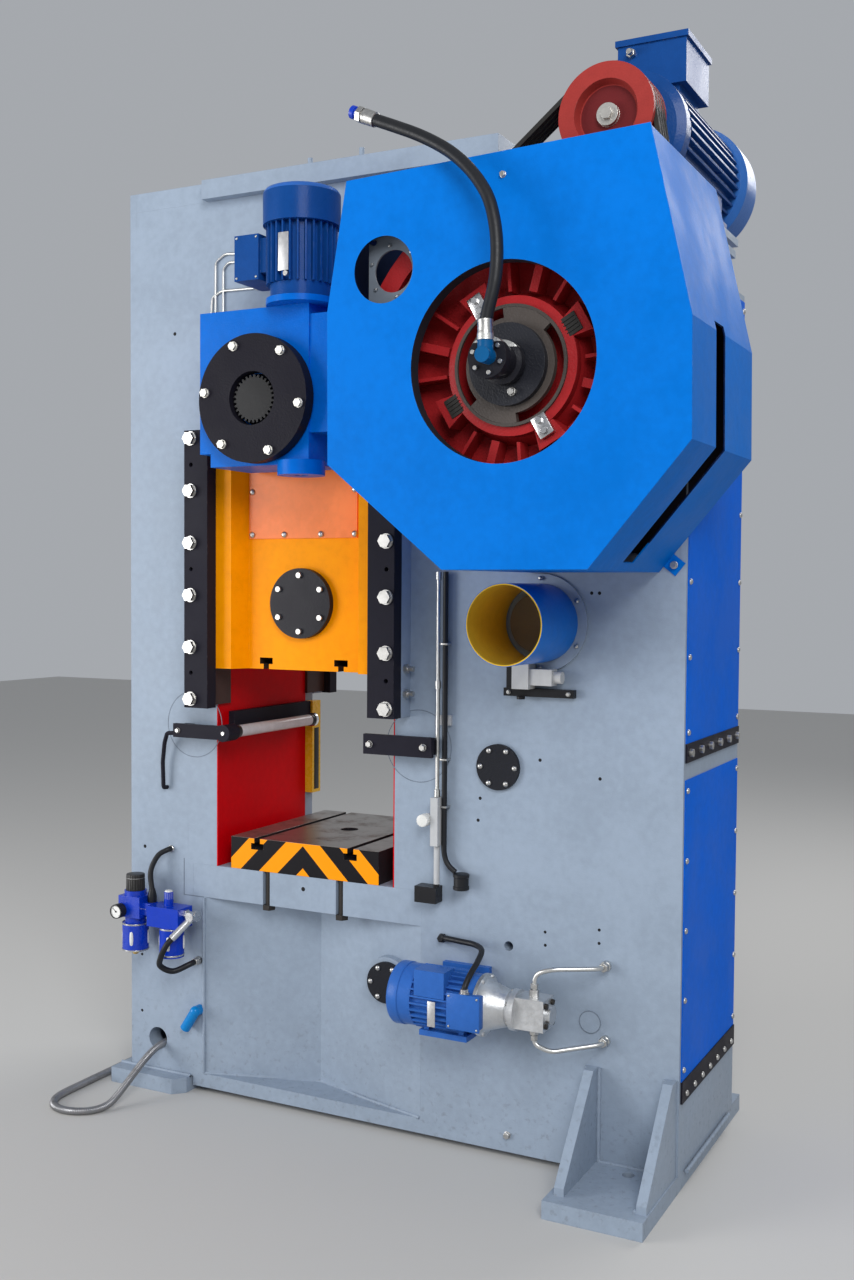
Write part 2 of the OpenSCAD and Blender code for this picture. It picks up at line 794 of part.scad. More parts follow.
module shaft_bushes() color("darkgoldenrod") place() {
  rear = frame_d - plate_t;
  bush([axis_x, pivot_z], pivot_r, 0, plate_t);
  bush([axis_x, pivot_z], pivot_r, rear, plate_t);
  bush(crank_at, crank_r, 0, plate_t);
  bush(crank_at, crank_r, rear, plate_t);
  bush(drive_at, shaft_r, rear, plate_t);
  bush(counter_at, shaft_r, plate_t / 4, plate_t * 3 / 4);
  bush(counter_at, shaft_r, rear, plate_t);
}

// Half the angle of a tooth at radius r, for z teeth of module m
function roll(r, base) = let (a = acos(min(1, base / r))) tan(a) * 180 / PI - a;
function tooth_half(m, z, r) =
  let (pitch = m * z / 2, base = pitch * cos(press_angle))
  90 / z - flank_gap / pitch * 180 / PI + roll(pitch, base) - roll(max(r, base), base);
function tooth_radii(m, z) =
  let (tip = m * (z / 2 + addendum), low = max(m * z / 2 * cos(press_angle), m * (z / 2 - dedendum)))
  [for (i = [0:3]) low + (tip - low) * i / 3];
function gear_points(m, z, turn) =
  let (radii = tooth_radii(m, z), root = m * (z / 2 - dedendum), foot = tooth_half(m, z, radii[0]))
  [for (k = [0:z - 1]) let (a = turn + 360 * k / z) each concat(
    [polar(root, a - foot)],
    [for (r = radii) polar(r, a - tooth_half(m, z, r))],
    [for (i = [3:-1:0]) polar(radii[i], a + tooth_half(m, z, radii[i]))],
    [polar(root, a + foot)]
  )];

module gear(at, m, z, turn, y, face) {
  sheet(y, face) translate(at) polygon(gear_points(m, z, turn));
}

module drive_shaft() color("silver") place() {
  rod([drive_x, -clutch_y, drive_z], shaft_r - run_gap, clutch_y + frame_d - 10);
  gear(drive_at, fast_module, fast_pinion, heading(drive_at, counter_at), fast_y, fast_face);
}

module countershaft() color("silver") place() {
  rod([counter_at.x, plate_t / 4 + 2, counter_at.y], shaft_r - run_gap, frame_d - plate_t / 4 - 12);
  back = heading(counter_at, drive_at) + 180 / fast_wheel;
  gear(counter_at, fast_module, fast_wheel, back, fast_y, fast_face);
  gear(counter_at, slow_module, slow_pinion, heading(counter_at, crank_at), slow_y, slow_face);
}

module crankshaft() color("silver") place() {
  r = crank_r - run_gap;
  web = 40;
  pin_low = frame_d / 2 - 45;
  pin = [crank_x + crank_throw, crank_z];
  rod([crank_x, -32, crank_z], r, pin_low + 32);
  rod([crank_x, -32, crank_z], 84, 26);
  rod([crank_x, pin_low + 90, crank_z], r, frame_d - 10 - pin_low - 90);
  rod([pin.x, pin_low - eps, pin.y], 58, 92);
  for (y = [pin_low - web, pin_low + 90]) {
    sheet(y, web) union() {
      hole_at(crank_at, 105);
      hole_at(pin, 76);
      translate([crank_x - 105, crank_z - 90]) square([105, 180]);
    }
  }
  back = heading(crank_at, counter_at) + 180 / slow_wheel;
  gear(crank_at, slow_module, slow_wheel, back, slow_y, slow_face);
}

// Grooves of one belt wheel, as notches in the rim's profile
module groove_notches(r) {
  for (i = [0:belt_count - 1]) {
    y = -belt_y - belt_pitch * (i + 0.5);
    polygon([
      [r + eps, y - belt_w / 2 - 2.5], [r + eps, y + belt_w / 2 + 2.5],
      [r - groove_d, y + belt_w / 2 + 0.5], [r - groove_d, y - belt_w / 2 - 0.5]
    ]);
  }
}

module flywheel() color("firebrick") place() {
  at = [drive_x, 0, drive_z];
  rim = wheel_r - 52;
  floor_y = -wheel_front + 50;
  turned(at) difference() {
    union() {
      translate([rim, -wheel_front]) square([52, wheel_w]);
      translate([190, -wheel_back - 68]) square([rim - 189, 26]);
      polygon([
        [quill_r + run_gap, floor_y], [hub_ring_r - hub_ring_t, floor_y],
        [hub_ring_r - hub_ring_t, -clutch_y],
        [hub_ring_r, -clutch_y], [hub_ring_r, -clutch_y + 8], [hub_ring_r + 22, -clutch_y + 12],
        [hub_ring_r + 22, -clutch_y + 38], [191, -wheel_back - 68], [191, -wheel_back - 42],
        [150, -wheel_back + 8], [quill_r + run_gap, -wheel_back + 8]
      ]);
    }
    groove_notches(wheel_r);
  }
  for (i = [0:wheel_ribs - 1]) {
    turn = 15 + (i - (wheel_ribs - 1) / 2) * 19;
    half = i * 2 == wheel_ribs - 1 ? 11 : 4.5;
    ring(at, 4, 0, turn) slab([186, -wheel_front + 8, -half], [rim + 2, -wheel_back - 67, half]);
  }
  ring(at, 4, 0, -30) sheet(-clutch_y + 14, clutch_y - 14 - wheel_back - 67)
    polygon([[hub_ring_r + 8, -24], [pad_r, -40], [pad_r, 40], [hub_ring_r + 8, 24]]);
}

// Spider and cap of the clutch, keyed to the front end of the drive shaft
module clutch_hub() color("rosybrown") place() {
  at = [drive_x, 0, drive_z];
  turned(at) translate([shaft_r - run_gap, -clutch_y]) square([spider_r - shaft_r + run_gap, spider_t]);
  sheet(-clutch_y, spider_t) translate(drive_at) difference() {
    circle(r = hub_ring_r - hub_ring_t - spider_gap);
    circle(r = spider_r - eps);
    for (a = [70 + 28, 250 + 28]) polygon([[0, 0], polar(300, a), polar(300, a + 62), polar(300, a + 124)]);
  }
  rod([drive_x + 18, -cap_front - 9, drive_z - 69], 9, 10);
  rod([drive_x, -cap_front, drive_z], cap_r, cap_front - clutch_y);
  rod([drive_x, -cap_front - 38, drive_z], nose_r - run_gap, 38);
}

module rotary_union() color("dimgray") place() {
  turned([drive_x, 0, drive_z]) polygon([
    [0, -640], [union_r, -640], [union_r, -612], [42, -606], [42, -560], [54, -556], [54, -535],
    [nose_r, -535], [nose_r, -566], [0, -566]
  ]);
  ring([drive_x, -640, drive_z], 6, 38, 20) rod([0, -5, 0], 5, 5);
  x = drive_x + 5;
  rod([x, -union_front, drive_z], 19, union_front - 640);
  rod_z([x, -660, drive_z], 19, 34);
  rod_z([x, -660, drive_z + 34], 20, 16);
}

function guard_points() = [
  [1156, 2699], [motor_x + 144, 2729], [guard_end - 3, 2286], [guard_end, 2006],
  [1818, 1711], [1434, 1710], [1103, 1981], [1100, 2370]
];

// Outline moved inwards by t, for points that run clockwise
function shrink(p, t) = [
  for (i = [0:len(p) - 1])
    let (
      n = len(p), a = p[(i + n - 1) % n], b = p[i], c = p[(i + 1) % n],
      u = unit(b - a), v = unit(c - b), nu = [u.y, -u.x], nv = [v.y, -v.x],
      h = unit(nu + nv)
    ) b + h * t / (h * nu)
];

module belt_guard() color("dodgerblue") place() {
  at = [drive_x, -guard_front, drive_z];
  outer = guard_points();
  difference() {
    sheet(-guard_front, guard_front) difference() {
      polygon(outer);
      polygon(shrink(outer, guard_t));
      polygon([[1150, 2680], [1300, 2860], [1980, 2860], [motor_x + 140.5, 2690]]);
    }
    sheet(-355, 83) polygon([
      [guard_end - 12, 2308], [guard_end + 10, 2308], [guard_end + 10, 2000],
      [1843, 1722], [1826, 1740], [guard_end - 12, 2012]
    ]);
  }
  sheet(-4, 4) polygon([[1829, 1729], [1857, 1763], [1892, 1735], [1864, 1701]]);
  rod([1863, -12, 1731], 10, 9);
  sheet(-guard_front, guard_t) difference() {
    polygon(outer);
    hole_at(drive_at, guard_hole_r);
    hole_at([1265, 2465], 84);
  }
  difference() {
    rod(at, guard_hole_r + 0.5, 40);
    rod([at.x, at.y - eps, at.z], guard_hole_r - 5, 42);
  }
  port = [1268, 2471];
  sheet(-guard_front + 48, 6) difference() {
    translate(port - [72, 110]) square([164, 200]);
    hole_at(port, 54);
  }
  for (x = [port.x - 54, port.x + 76], z = [port.y - 96, port.y + 76]) {
    rod([x, -guard_front + guard_t - 1, z], 8, 46);
  }
  ring([port.x, -guard_front + 44, port.y], 6, 66, 20) rod([0, 0, 0], 5, 5);
}

// Closed loop round two wheels
module loop(a, ra, b, rb) {
  d = norm(b - a);
  t = heading(a, b);
  s = acos((ra - rb) / d);
  hole_at(a, ra);
  hole_at(b, rb);
  polygon([a + polar(ra, t + s), a + polar(ra, t - s), b + polar(rb, t - s), b + polar(rb, t + s)]);
}

module drive_belts() color("black") place() {
  low = groove_d - belt_gap;
  motor_at = [motor_x, motor_z];
  for (i = [0:belt_count - 1]) {
    sheet(-belt_y - belt_pitch * (i + 0.5) - belt_w / 2, belt_w) difference() {
      loop(drive_at, wheel_r - low + belt_h, motor_at, pulley_r - low + belt_h);
      loop(drive_at, wheel_r - low, motor_at, pulley_r - low);
    }
  }
}

module motor_pulley() color("indianred") place() {
  front = belt_y + belt_pitch * belt_count + 12;
  back = belt_y - 8;
  turned([motor_x, 0, motor_z]) difference() {
    polygon([
      [0, -front + 24], [73, -front + 24], [80, -front], [pulley_r, -front],
      [pulley_r, -back], [44, -back], [44, -346], [0, -346]
    ]);
    groove_notches(pulley_r);
  }
  rod([motor_x, -front + 12, motor_z], 27, 12);
  translate([motor_x, -front + 2, motor_z]) rotate([-90, 0, 0]) cylinder(d = 30, h = 10, $fn = 6);
}

module main_motor() color("midnightblue") place() {
  low = motor_z - 163;
  turned([motor_x, 0, motor_z]) polygon([
    [0, -340], [60, -340], [70, -320], [motor_r - 20, -310],
    [motor_r + 2, -300], [motor_r + 2, -262], [0, -262]
  ]);
  sheet(-262, 470) translate([motor_x, motor_z]) fins(40, motor_r - 14, motor_r + 4, 6);
  turned([motor_x, 0, motor_z]) polygon([
    [0, 208], [motor_r + 8, 208], [motor_r + 22, 230], [motor_r + 22, 330], [motor_r - 12, 352], [0, 352]
  ]);
  for (x = [motor_x - 142, motor_x + 82]) slab([x, -190, low], [x + 60, 130, low + 22]);
  for (x = [motor_x - 132, motor_x + 102]) slab([x, -170, low + 20], [x + 30, 110, motor_z - 60]);
  slab([motor_x - 80, -90, motor_z + motor_r - 10], [motor_x + 70, 90, 2985]);
  slab([1720, -108, 2980], [1906, 107, 3094]);
  slab([1714, -114, 3094], [1912, 113, 3110]);
}

module motor_base() color("lightsteelblue") place() {
  top = motor_z - 163;
  slab([motor_x - 166, -215, top - 20], [motor_x + 152, 215, top]);
  slab([frame_w - 22, 5, deck_top], [frame_w + 95, 95, deck_top + 20]);
  for (x = [motor_x - 150, frame_w - 22]) slab([x, 20, deck_top], [x + 22, 205, top - 20]);
  slab([motor_x - 128, 60, deck_top], [frame_w - 22, 80, top - 20]);
  slab([motor_x - 166, -215, top - 60], [motor_x + 152, -200, top - 20]);
}

// Open tube on a square foot, over the end of the crankshaft
module shaft_guard() color("royalblue") place() {
  turned([crank_x, 0, crank_z]) polygon([
    [tube_r - 5, -tube_l], [tube_r, -tube_l], [tube_r, -8],
    [tube_r + 28, -8], [tube_r + 28, 0], [tube_r - 5, 0]
  ]);
  ring([crank_x, -8, crank_z], 6, tube_r + 15, 30) rod([0, -5, 0], 5, 5);
}

module limit_valve() color("silver") place() {
  slab([1369, -22, 1357], [1583, 0, 1380]);
  slab([1395, -62, 1380], [1462, -10, 1452]);
  slab([1462, -56, 1392], [1530, -14, 1438]);
  rod_x([1530, -34, 1415], 17, 24);
  rod_z([1428, -34, 1350], 12, 8);
  slab([1385, -22, 1379], [1410, -10, 1445]);
}

module lube_motor() color("midnightblue") place() {
  p = [0, -110, 482];
  translate([1160, p.y, p.z]) rotate([90, 0, 90]) linear_extrude(160) fins(28, 78, 90, 5);
  rod_x([1120, p.y, p.z], 88, 41);
  rod_x([1319, p.y, p.z], 84, 34);
  slab([1175, -196, 505], [1270, -130, 580]);
  slab([1180, -170, 385], [1330, -20, 401]);
  slab([1180, -20, 375], [1330, 0, 560]);
  for (x = [1190, 1300]) slab([x, -160, 400], [x + 16, -60, 430]);
}

module lube_pump() color("gainsboro") place() {
  p = [0, -110, 482];
  rod_x([1353, p.y, p.z], 62, 18);
  rod_x([1371, p.y, p.z], 48, 80);
  rod_x([1448, p.y, p.z], 58, 18);
  slab([1466, p.y - 38, p.z - 42], [1552, p.y + 38, p.z + 46]);
  rod_x([1552, p.y, p.z], 26, 14);
}

// Thin tubes on the face, the vertical service tube and the pump's pipes
module steel_tubes() color("silver") place() {
  y = -thin_r;
  run([[523, y, 2706], [384, y, 2719], [347, y, 2695], [347, y, 2480]], thin_r, 12);
  run([[523, y, 2683], [396, y, 2691], [377, y, 2671], [377, y, 2480]], thin_r, 12);
  run([[523, y, 2600], [370, y, 2603], [334, y, 2585], [320, y, 2480]], thin_r, 12);
  bar([1160, -25, 1048], [1160, -25, 1710], 6);
  run([
    [1510, -110, 528], [1510, -110, 590], [1560, -110, 610], [1681, -40, 610], [1681, 0, 610]
  ], pipe_r, 18);
  run([
    [1510, -110, 440], [1510, -110, 392], [1560, -110, 378], [1684, -40, 398], [1684, 0, 398]
  ], pipe_r, 18);
  for (z = [610, 398]) rod([1682, -14, z], 15, 14);
}

module black_hoses() color("black") place() {
  run([[1181, -20, 1712], [1181, -20, 880], [1192, -20, 850], [1219, -20, 830]], 8, 16);
  rod_z([1240, -24, 781], 24, 48);
  run([[136, -62, 664], [122, -52, 728], [136, -34, 780], [166, -20, 796], [166, 0, 796]], 9, 10);
  rod_z([136, -62, 628], 15, 44);
  run([
    [264, -126, 536], [252, -140.6, 518.3], [226, -134, 478], [204, -112, 438],
    [232, -84, 414], [279, -46, 439], [279, 0, 439]
  ], 10, 10);
}

module air_regulator() color("mediumblue") place() {
  x = 74;
  y = -70;
  rod_z([x, y, 468], 43, 88);
  rod_z([x, y, 556], 34, 24);
  slab([32, y - 36, 578], [118, y + 36, 648]);
  rod_z([x, y, 648], 36, 16);
  slab([118, y - 20, 588], [150, y + 20, 628]);
  slab([60, y + 35, 590], [88, 0, 640]);
  rod([x - 30, y - 62, 600], 22, 26);
  rod_z([x, y, 452], 9, 16);
}

module regulator_knob() color("black") place() rod_z([74, -70, 664.3], 32, 53);

module lubricator() color("mediumblue") place() {
  x = 222;
  y = -70;
  rod_z([x, y, 462], 40, 98);
  slab([150, y - 38, 560], [275, y + 38, 626]);
  rod_z([210, y, 626], 15, 46);
  slab([205, y + 37, 580], [240, 0, 616]);
  rod_x([275, y, 604], 13, 35);
  translate([310, y, 604]) sphere(r = 14);
  bar([310, y, 604], [264, -126, 536], 12);
  rod([283, -26, 276], 17, 26);
  translate([283, -26, 276]) sphere(r = 18);
  bar([283, -26, 276], [242, -26, 214], 17);
}

module lamp_brackets() color("dimgray") place() {
  slab([220, -60, 1176], [437, -44, 1220]);
  slab([226, -46, 1180], [262, 0, 1216]);
  rod([418, -66, 1198], 27, 60);
  slab([928, -60, 1166], [1157, -44, 1226]);
  slab([1112, -46, 1172], [1150, 0, 1220]);
  slab([354, 60, 1187], [376, frame_d - 54, 1257]);
  run([
    [222, -52, 1188], [190, -52, 1186], [165, -34, 1150],
    [150, -24, 1085], [150, -20, 1000], [150, 0, 1000]
  ], 7, 8);
}

module lamp() color("gainsboro") place() {
  rod([418, -5.7, 1198], 19, frame_d - 112);
  rod([418, frame_d - 118, 1198], 24, 14);
}

module light_curtain() color("gold") place() {
  slab([354, frame_d - 54, 928], [384, frame_d, 1257]);
}

module pressure_switch() color("lightslategray") place() {
  slab([1148, -46, 905], [1172, 0, 1048]);
  rod([1128, -30, 980], 15, 30);
  slab([1127, -20, 972], [1149, 0, 988]);
  slab([1097, -46, 734], [1167, 0, 782]);
  rod_z([1160, -25, 781], 9, 124);
  slab([1146, -12, 1260], [1196, 0, 1290]);
}

module valve_knob() color("black") place() rod([1128, -62, 980], 19, 31.7);

module air_hose() color("dimgray") place() sweep(hose_route, hose_r, 10);

module hose_end() color("silver") place() {
  a = hose_route[len(hose_route) - 1];
  t = along(hose_route, len(hose_route) - 1);
  bar(a, a + t * 26, hose_r + 4);
  bar(a + t * 25, a + t * 44, hose_r + 8);
}

module conduit() color("darkgray") place() sweep(conduit_route, conduit_r, 10);

module conduit_coil() color("darkgray") place() {
  r = conduit_r;
  translate([coil_at.x, coil_at.y, 0]) rotate_extrude() {
    translate([coil_r - r, r]) square([2 * r, 2 * r]);
    translate([coil_r, r]) circle(r = r);
    translate([coil_r, 3 * r]) circle(r = r);
  }
}

module conduit_plug() color("dimgray") place() {
  slab([coil_at.x + 30, coil_at.y + coil_r - 22, 0], [coil_at.x + 110, coil_at.y + coil_r + 22, 56]);
}

frame_front();
frame_rear();
frame_walls();
crown_plate();
bed_plate();
bed_recess();
foot_left();
foot_right();
gib_rails();
gib_keepers();
gib_liners();
window_liners();
side_panels();
side_strips();
frame_covers();
frame_bolts();
bolster();
bolster_bolts();
slide();
slide_cover();
pin_cover();
upper_link();
lower_link();
pivot_shaft();
adjust_housing();
adjust_flange();
adjust_motor();
worm_shaft();
bearing_housing();
shaft_bushes();
drive_shaft();
countershaft();
crankshaft();
flywheel();
clutch_hub();
rotary_union();
belt_guard();
drive_belts();
motor_pulley();
main_motor();
motor_base();
shaft_guard();
limit_valve();
lube_motor();
lube_pump();
steel_tubes();
black_hoses();
air_regulator();
regulator_knob();
lubricator();
lamp_brackets();
lamp();
light_curtain();
pressure_switch();
valve_knob();
air_hose();
hose_end();
conduit();
conduit_coil();
conduit_plug();
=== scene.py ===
"""Finishes and small parts of a mechanical stamping press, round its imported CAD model."""

import math
import random
from contextlib import contextmanager
from functools import cache, partial, reduce
from itertools import product

import bmesh
import bpy
from bpy.props import FloatProperty, FloatVectorProperty, PointerProperty
from mathutils import Matrix, Vector


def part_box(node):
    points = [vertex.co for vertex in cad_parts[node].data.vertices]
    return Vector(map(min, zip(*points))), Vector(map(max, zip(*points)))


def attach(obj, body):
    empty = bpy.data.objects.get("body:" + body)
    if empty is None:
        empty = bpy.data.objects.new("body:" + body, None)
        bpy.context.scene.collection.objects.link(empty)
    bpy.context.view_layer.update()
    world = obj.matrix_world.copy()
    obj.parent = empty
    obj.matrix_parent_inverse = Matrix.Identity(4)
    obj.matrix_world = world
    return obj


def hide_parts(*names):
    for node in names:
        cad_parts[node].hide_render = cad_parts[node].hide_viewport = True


bl_info = {
    "name": "Stamping Press Finishes",
    "version": (1, 0, 0),
    "blender": (4, 5, 0),
    "location": "3D View > Sidebar > Press",
    "description": "Paints a packed stamping press and adds its cords and small parts",
    "category": "Object",
}

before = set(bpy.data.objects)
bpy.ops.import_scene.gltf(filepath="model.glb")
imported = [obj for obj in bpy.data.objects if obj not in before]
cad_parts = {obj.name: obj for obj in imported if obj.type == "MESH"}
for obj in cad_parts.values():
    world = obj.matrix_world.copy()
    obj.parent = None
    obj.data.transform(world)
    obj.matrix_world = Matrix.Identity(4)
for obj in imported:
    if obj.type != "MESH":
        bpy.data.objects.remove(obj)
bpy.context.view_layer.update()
FACE_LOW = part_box("frame_front")[0]
FACE = Vector((FACE_LOW.x, FACE_LOW.y, 0))
MM = 0.001
MERGE = 1e-6
FRONT, REAR, LEFT, RIGHT, UP, DOWN = (0, -1, 0), (0, 1, 0), (-1, 0, 0), (1, 0, 0), (0, 0, 1), (0, 0, -1)

# Axes and heights that several pieces share, in the millimetres of at()

WHEEL_X, WHEEL_Z = 1590, 2212
CRANK_X, CRANK_Z = 1476, 1567
MOTOR_X, MOTOR_Z = 1814, 2803
PORTS_X, PORTS_Z = 1268, 2471
LAMP_X, LAMP_Z = 418, 1198
PUMP_Y, PUMP_Z = -110, 482
REGULATOR_X, LUBRICATOR_X, UNIT_Y = 74, 222, -70
GEARBOX_TUBES_Z = (2706, 2683, 2600)
PUMP_TUBES_Z = (610, 398)
SLIDE_X = 677


def mm(x, y, z):
    return Vector((x, y, z)) * MM


def at(x, y, z):
    """A place in millimetres from the frame's left edge, its front face and the floor."""
    return FACE + mm(x, y, z)


# Sizes and colours that a user would change


def size(label, text, value, unit="LENGTH"):
    return FloatProperty(name=label, description=text, default=value, min=0.0, unit=unit, precision=4)


def colour(label, text, value):
    return FloatVectorProperty(
        name=label, description=text, default=value, size=3, min=0.0, max=1.0, subtype="COLOR"
    )


def share(label, text, value):
    return FloatProperty(name=label, description=text, default=value, min=0.0, max=1.0, subtype="FACTOR")


class PressPaint(bpy.types.PropertyGroup):
    frame_grey: colour("Frame", "Enamel of the welded frame", (0.3, 0.365, 0.455))
    guard_blue: colour("Belt guard", "Enamel of the sheet guard", (0.0, 0.155, 0.6))
    panel_blue: colour("Side panels", "Enamel of the side panels", (0.0, 0.085, 0.46))
    gearbox_blue: colour("Gearbox", "Enamel of the slide adjuster", (0.0, 0.135, 0.58))
    motor_blue: colour("Motors", "Enamel of the motors", (0.006, 0.06, 0.25))
    pump_blue: colour("Pump motor", "Enamel of the lubrication pump's motor", (0.03, 0.13, 0.46))
    service_blue: colour("Air unit", "Plastic of the air service unit", (0.0, 0.035, 0.45))
    slide_orange: colour("Slide", "Enamel of the slide", (1.0, 0.33, 0.0))
    cover_orange: colour("Slide cover", "Enamel of the slide's upper cover", (0.98, 0.24, 0.06))
    window_red: colour("Window", "Enamel of the die window's sides", (0.6, 0.0, 0.004))
    wheel_red: colour("Flywheel", "Enamel of the flywheel", (0.36, 0.016, 0.019))
    pulley_red: colour("Pulley", "Enamel of the motor pulley", (0.32, 0.035, 0.03))
    hazard_orange: colour("Chevrons", "Light stripes of the bolster's front", (1.0, 0.33, 0.0))
    tube_yellow: colour("Shaft guard", "Enamel inside the shaft guard", (0.72, 0.46, 0.035))


class PressWear(bpy.types.PropertyGroup):
    edge: share("Edge wear", "Paint rubbed off along the edges", 0.3)
    grime: share("Grime", "Dust and oil on the surfaces", 0.3)
    mottle: share("Mottle", "Unevenness of the paint's colour", 0.16)
    edge_round: size("Edge rounding", "Radius that catches the light on an edge", 0.0016)


class PressCords(bpy.types.PropertyGroup):
    hose_diameter: size("Hose diameter", "Outside diameter of the air hose", 0.031)
    conduit_diameter: size("Conduit diameter", "Outside diameter of the conduit", 0.024)
    rib_pitch: size("Rib pitch", "Pitch of the conduit's ribs", 0.0052)
    rib_depth: size("Rib depth", "Depth of the conduit's ribs", 0.0016)


class PressHardware(bpy.types.PropertyGroup):
    screw_radius: size("Panel screw", "Radius of the panel screws' heads", 0.0085)
    screw_pitch: size("Screw pitch", "Distance between the panel screws", 0.2)
    weld_radius: size("Weld", "Radius of the weld beads", 0.006)


class PressStudio(bpy.types.PropertyGroup):
    floor_side: size("Floor", "Side of the floor", 30.0)
    key: FloatProperty(name="Key", description="Power of the main light", default=290.0, unit="POWER")
    fill: FloatProperty(name="Fill", description="Power of the fill light", default=260.0, unit="POWER")
    sky: FloatProperty(name="Sky", description="Strength of the light from all round", default=0.42)
    rim: FloatProperty(name="Rim", description="Power of the light behind", default=120.0, unit="POWER")


def settings():
    return bpy.context.scene.press


# Shader node groups

VALUE, COLOUR, VECTOR = "NodeSocketFloat", "NodeSocketColor", "NodeSocketVector"


def group_of(name, inputs, outputs):
    """A new node group with named sockets, and its two ends."""
    tree = bpy.data.node_groups.new(name, "ShaderNodeTree")
    for label, kind, value in inputs:
        socket = tree.interface.new_socket(label, in_out="INPUT", socket_type=kind)
        if value is not None:
            socket.default_value = value
    for label, kind in outputs:
        tree.interface.new_socket(label, in_out="OUTPUT", socket_type=kind)
    return tree, tree.nodes.new("NodeGroupInput"), tree.nodes.new("NodeGroupOutput")


def wire(tree, node, sockets):
    """Links each value that is a socket to its input; any other becomes the input's own value."""
    for key, value in sockets.items():
        if isinstance(value, bpy.types.NodeSocket):
            tree.links.new(value, node.inputs[key])
        else:
            node.inputs[key].default_value = value


def put(tree, kind, sockets=None, **values):
    """A new node with its settings and its inputs."""
    node = tree.nodes.new(kind)
    for key, value in values.items():
        setattr(node, key, value)
    wire(tree, node, sockets or {})
    return node


def math_node(tree, operation, a, b=0.0, clamp=False):
    return put(tree, "ShaderNodeMath", operation=operation, use_clamp=clamp, sockets={0: a, 1: b}).outputs[0]


def plus(tree, a, b, clamp=False):
    return math_node(tree, "ADD", a, b, clamp)


def times(tree, a, b, clamp=False):
    return math_node(tree, "MULTIPLY", a, b, clamp)


def ramp(tree, value, low, high, to_low=0.0, to_high=1.0):
    """A value mapped smoothly from one range to another."""
    return put(
        tree, "ShaderNodeMapRange", interpolation_type="SMOOTHSTEP",
        sockets={"Value": value, "From Min": low, "From Max": high, "To Min": to_low, "To Max": to_high},
    ).outputs["Result"]


def mix_colour(tree, factor, a, b, blend="MIX"):
    node = put(tree, "ShaderNodeMix", data_type="RGBA", blend_type=blend, sockets={0: factor, 6: a, 7: b})
    return node.outputs[2]


def noise(tree, vector, scale, detail=4.0, rough=0.55):
    return put(
        tree, "ShaderNodeTexNoise",
        sockets={"Vector": vector, "Scale": scale, "Detail": detail, "Roughness": rough},
    ).outputs["Fac"]


def stretched(tree, vector, scale):
    return put(tree, "ShaderNodeMapping", sockets={"Vector": vector, "Scale": scale}).outputs["Vector"]


def object_place(tree):
    return put(tree, "ShaderNodeTexCoord").outputs["Object"]


@cache
def mottle_group():
    """Paint whose colour is a little uneven, over large and small patches."""
    tree, start, end = group_of(
        "Press Mottle",
        [("Color", COLOUR, None), ("Amount", VALUE, 0.3), ("Scale", VALUE, 3.0)],
        [("Color", COLOUR)],
    )
    place = object_place(tree)
    broad = noise(tree, place, start.outputs["Scale"], 5.0, 0.6)
    fine = noise(tree, place, times(tree, start.outputs["Scale"], 14.0), 3.0)
    patches = plus(tree, broad, times(tree, fine, 0.5))
    spread = ramp(tree, patches, 0.5, 1.0, -0.5, 0.5)
    value = plus(tree, times(tree, spread, start.outputs["Amount"]), 1.0)
    hue = put(tree, "ShaderNodeHueSaturation", sockets={"Color": start.outputs["Color"], "Value": value})
    wire(tree, end, {"Color": hue.outputs["Color"]})
    return tree


@cache
def grime_group():
    """Masks of dust, of oil that ran down, and of dirt splashed up from the floor."""
    tree, start, end = group_of(
        "Press Grime",
        [("Amount", VALUE, 0.3)],
        [("Dust", VALUE), ("Streaks", VALUE)],
    )
    place = object_place(tree)
    height = put(tree, "ShaderNodeSeparateXYZ", sockets={0: place}).outputs["Z"]
    low = ramp(tree, height, 0.02, 0.55, 1.0, 0.0)
    patches = times(tree, ramp(tree, noise(tree, place, 3.1, 9.0, 0.7), 0.55, 0.85), 0.45)
    specks = ramp(tree, noise(tree, place, 60.0, 3.0), 0.56, 0.75)
    dust = plus(tree, patches, times(tree, low, specks))
    dust = plus(tree, dust, times(tree, low, 0.25))
    dust = times(tree, dust, start.outputs["Amount"], clamp=True)
    runs = noise(tree, stretched(tree, place, (34.0, 34.0, 0.9)), 1.0, 4.0, 0.6)
    where = ramp(tree, noise(tree, place, 1.4, 3.0), 0.5, 0.7)
    streaks = times(tree, ramp(tree, runs, 0.58, 0.76), where)
    streaks = times(tree, streaks, start.outputs["Amount"], clamp=True)
    wire(tree, end, {"Dust": dust, "Streaks": streaks})
    return tree


@cache
def edge_group():
    """A normal that is rounded at the edges, and a mask of where paint is rubbed off them."""
    tree, start, end = group_of(
        "Press Edge",
        [("Radius", VALUE, 0.0016), ("Amount", VALUE, 0.3)],
        [("Normal", VECTOR), ("Mask", VALUE)],
    )
    soft = put(tree, "ShaderNodeBevel", samples=4, sockets={"Radius": start.outputs["Radius"]})
    flat = put(tree, "ShaderNodeNewGeometry")
    same = put(
        tree, "ShaderNodeVectorMath", operation="DOT_PRODUCT",
        sockets={0: soft.outputs["Normal"], 1: flat.outputs["Normal"]},
    ).outputs["Value"]
    turn = ramp(tree, same, 0.98, 0.8)
    chips = ramp(tree, noise(tree, object_place(tree), 38.0, 6.0, 0.7), 0.52, 0.62)
    mask = times(tree, times(tree, turn, chips), start.outputs["Amount"], clamp=True)
    wire(tree, end, {"Normal": soft.outputs["Normal"], "Mask": mask})
    return tree


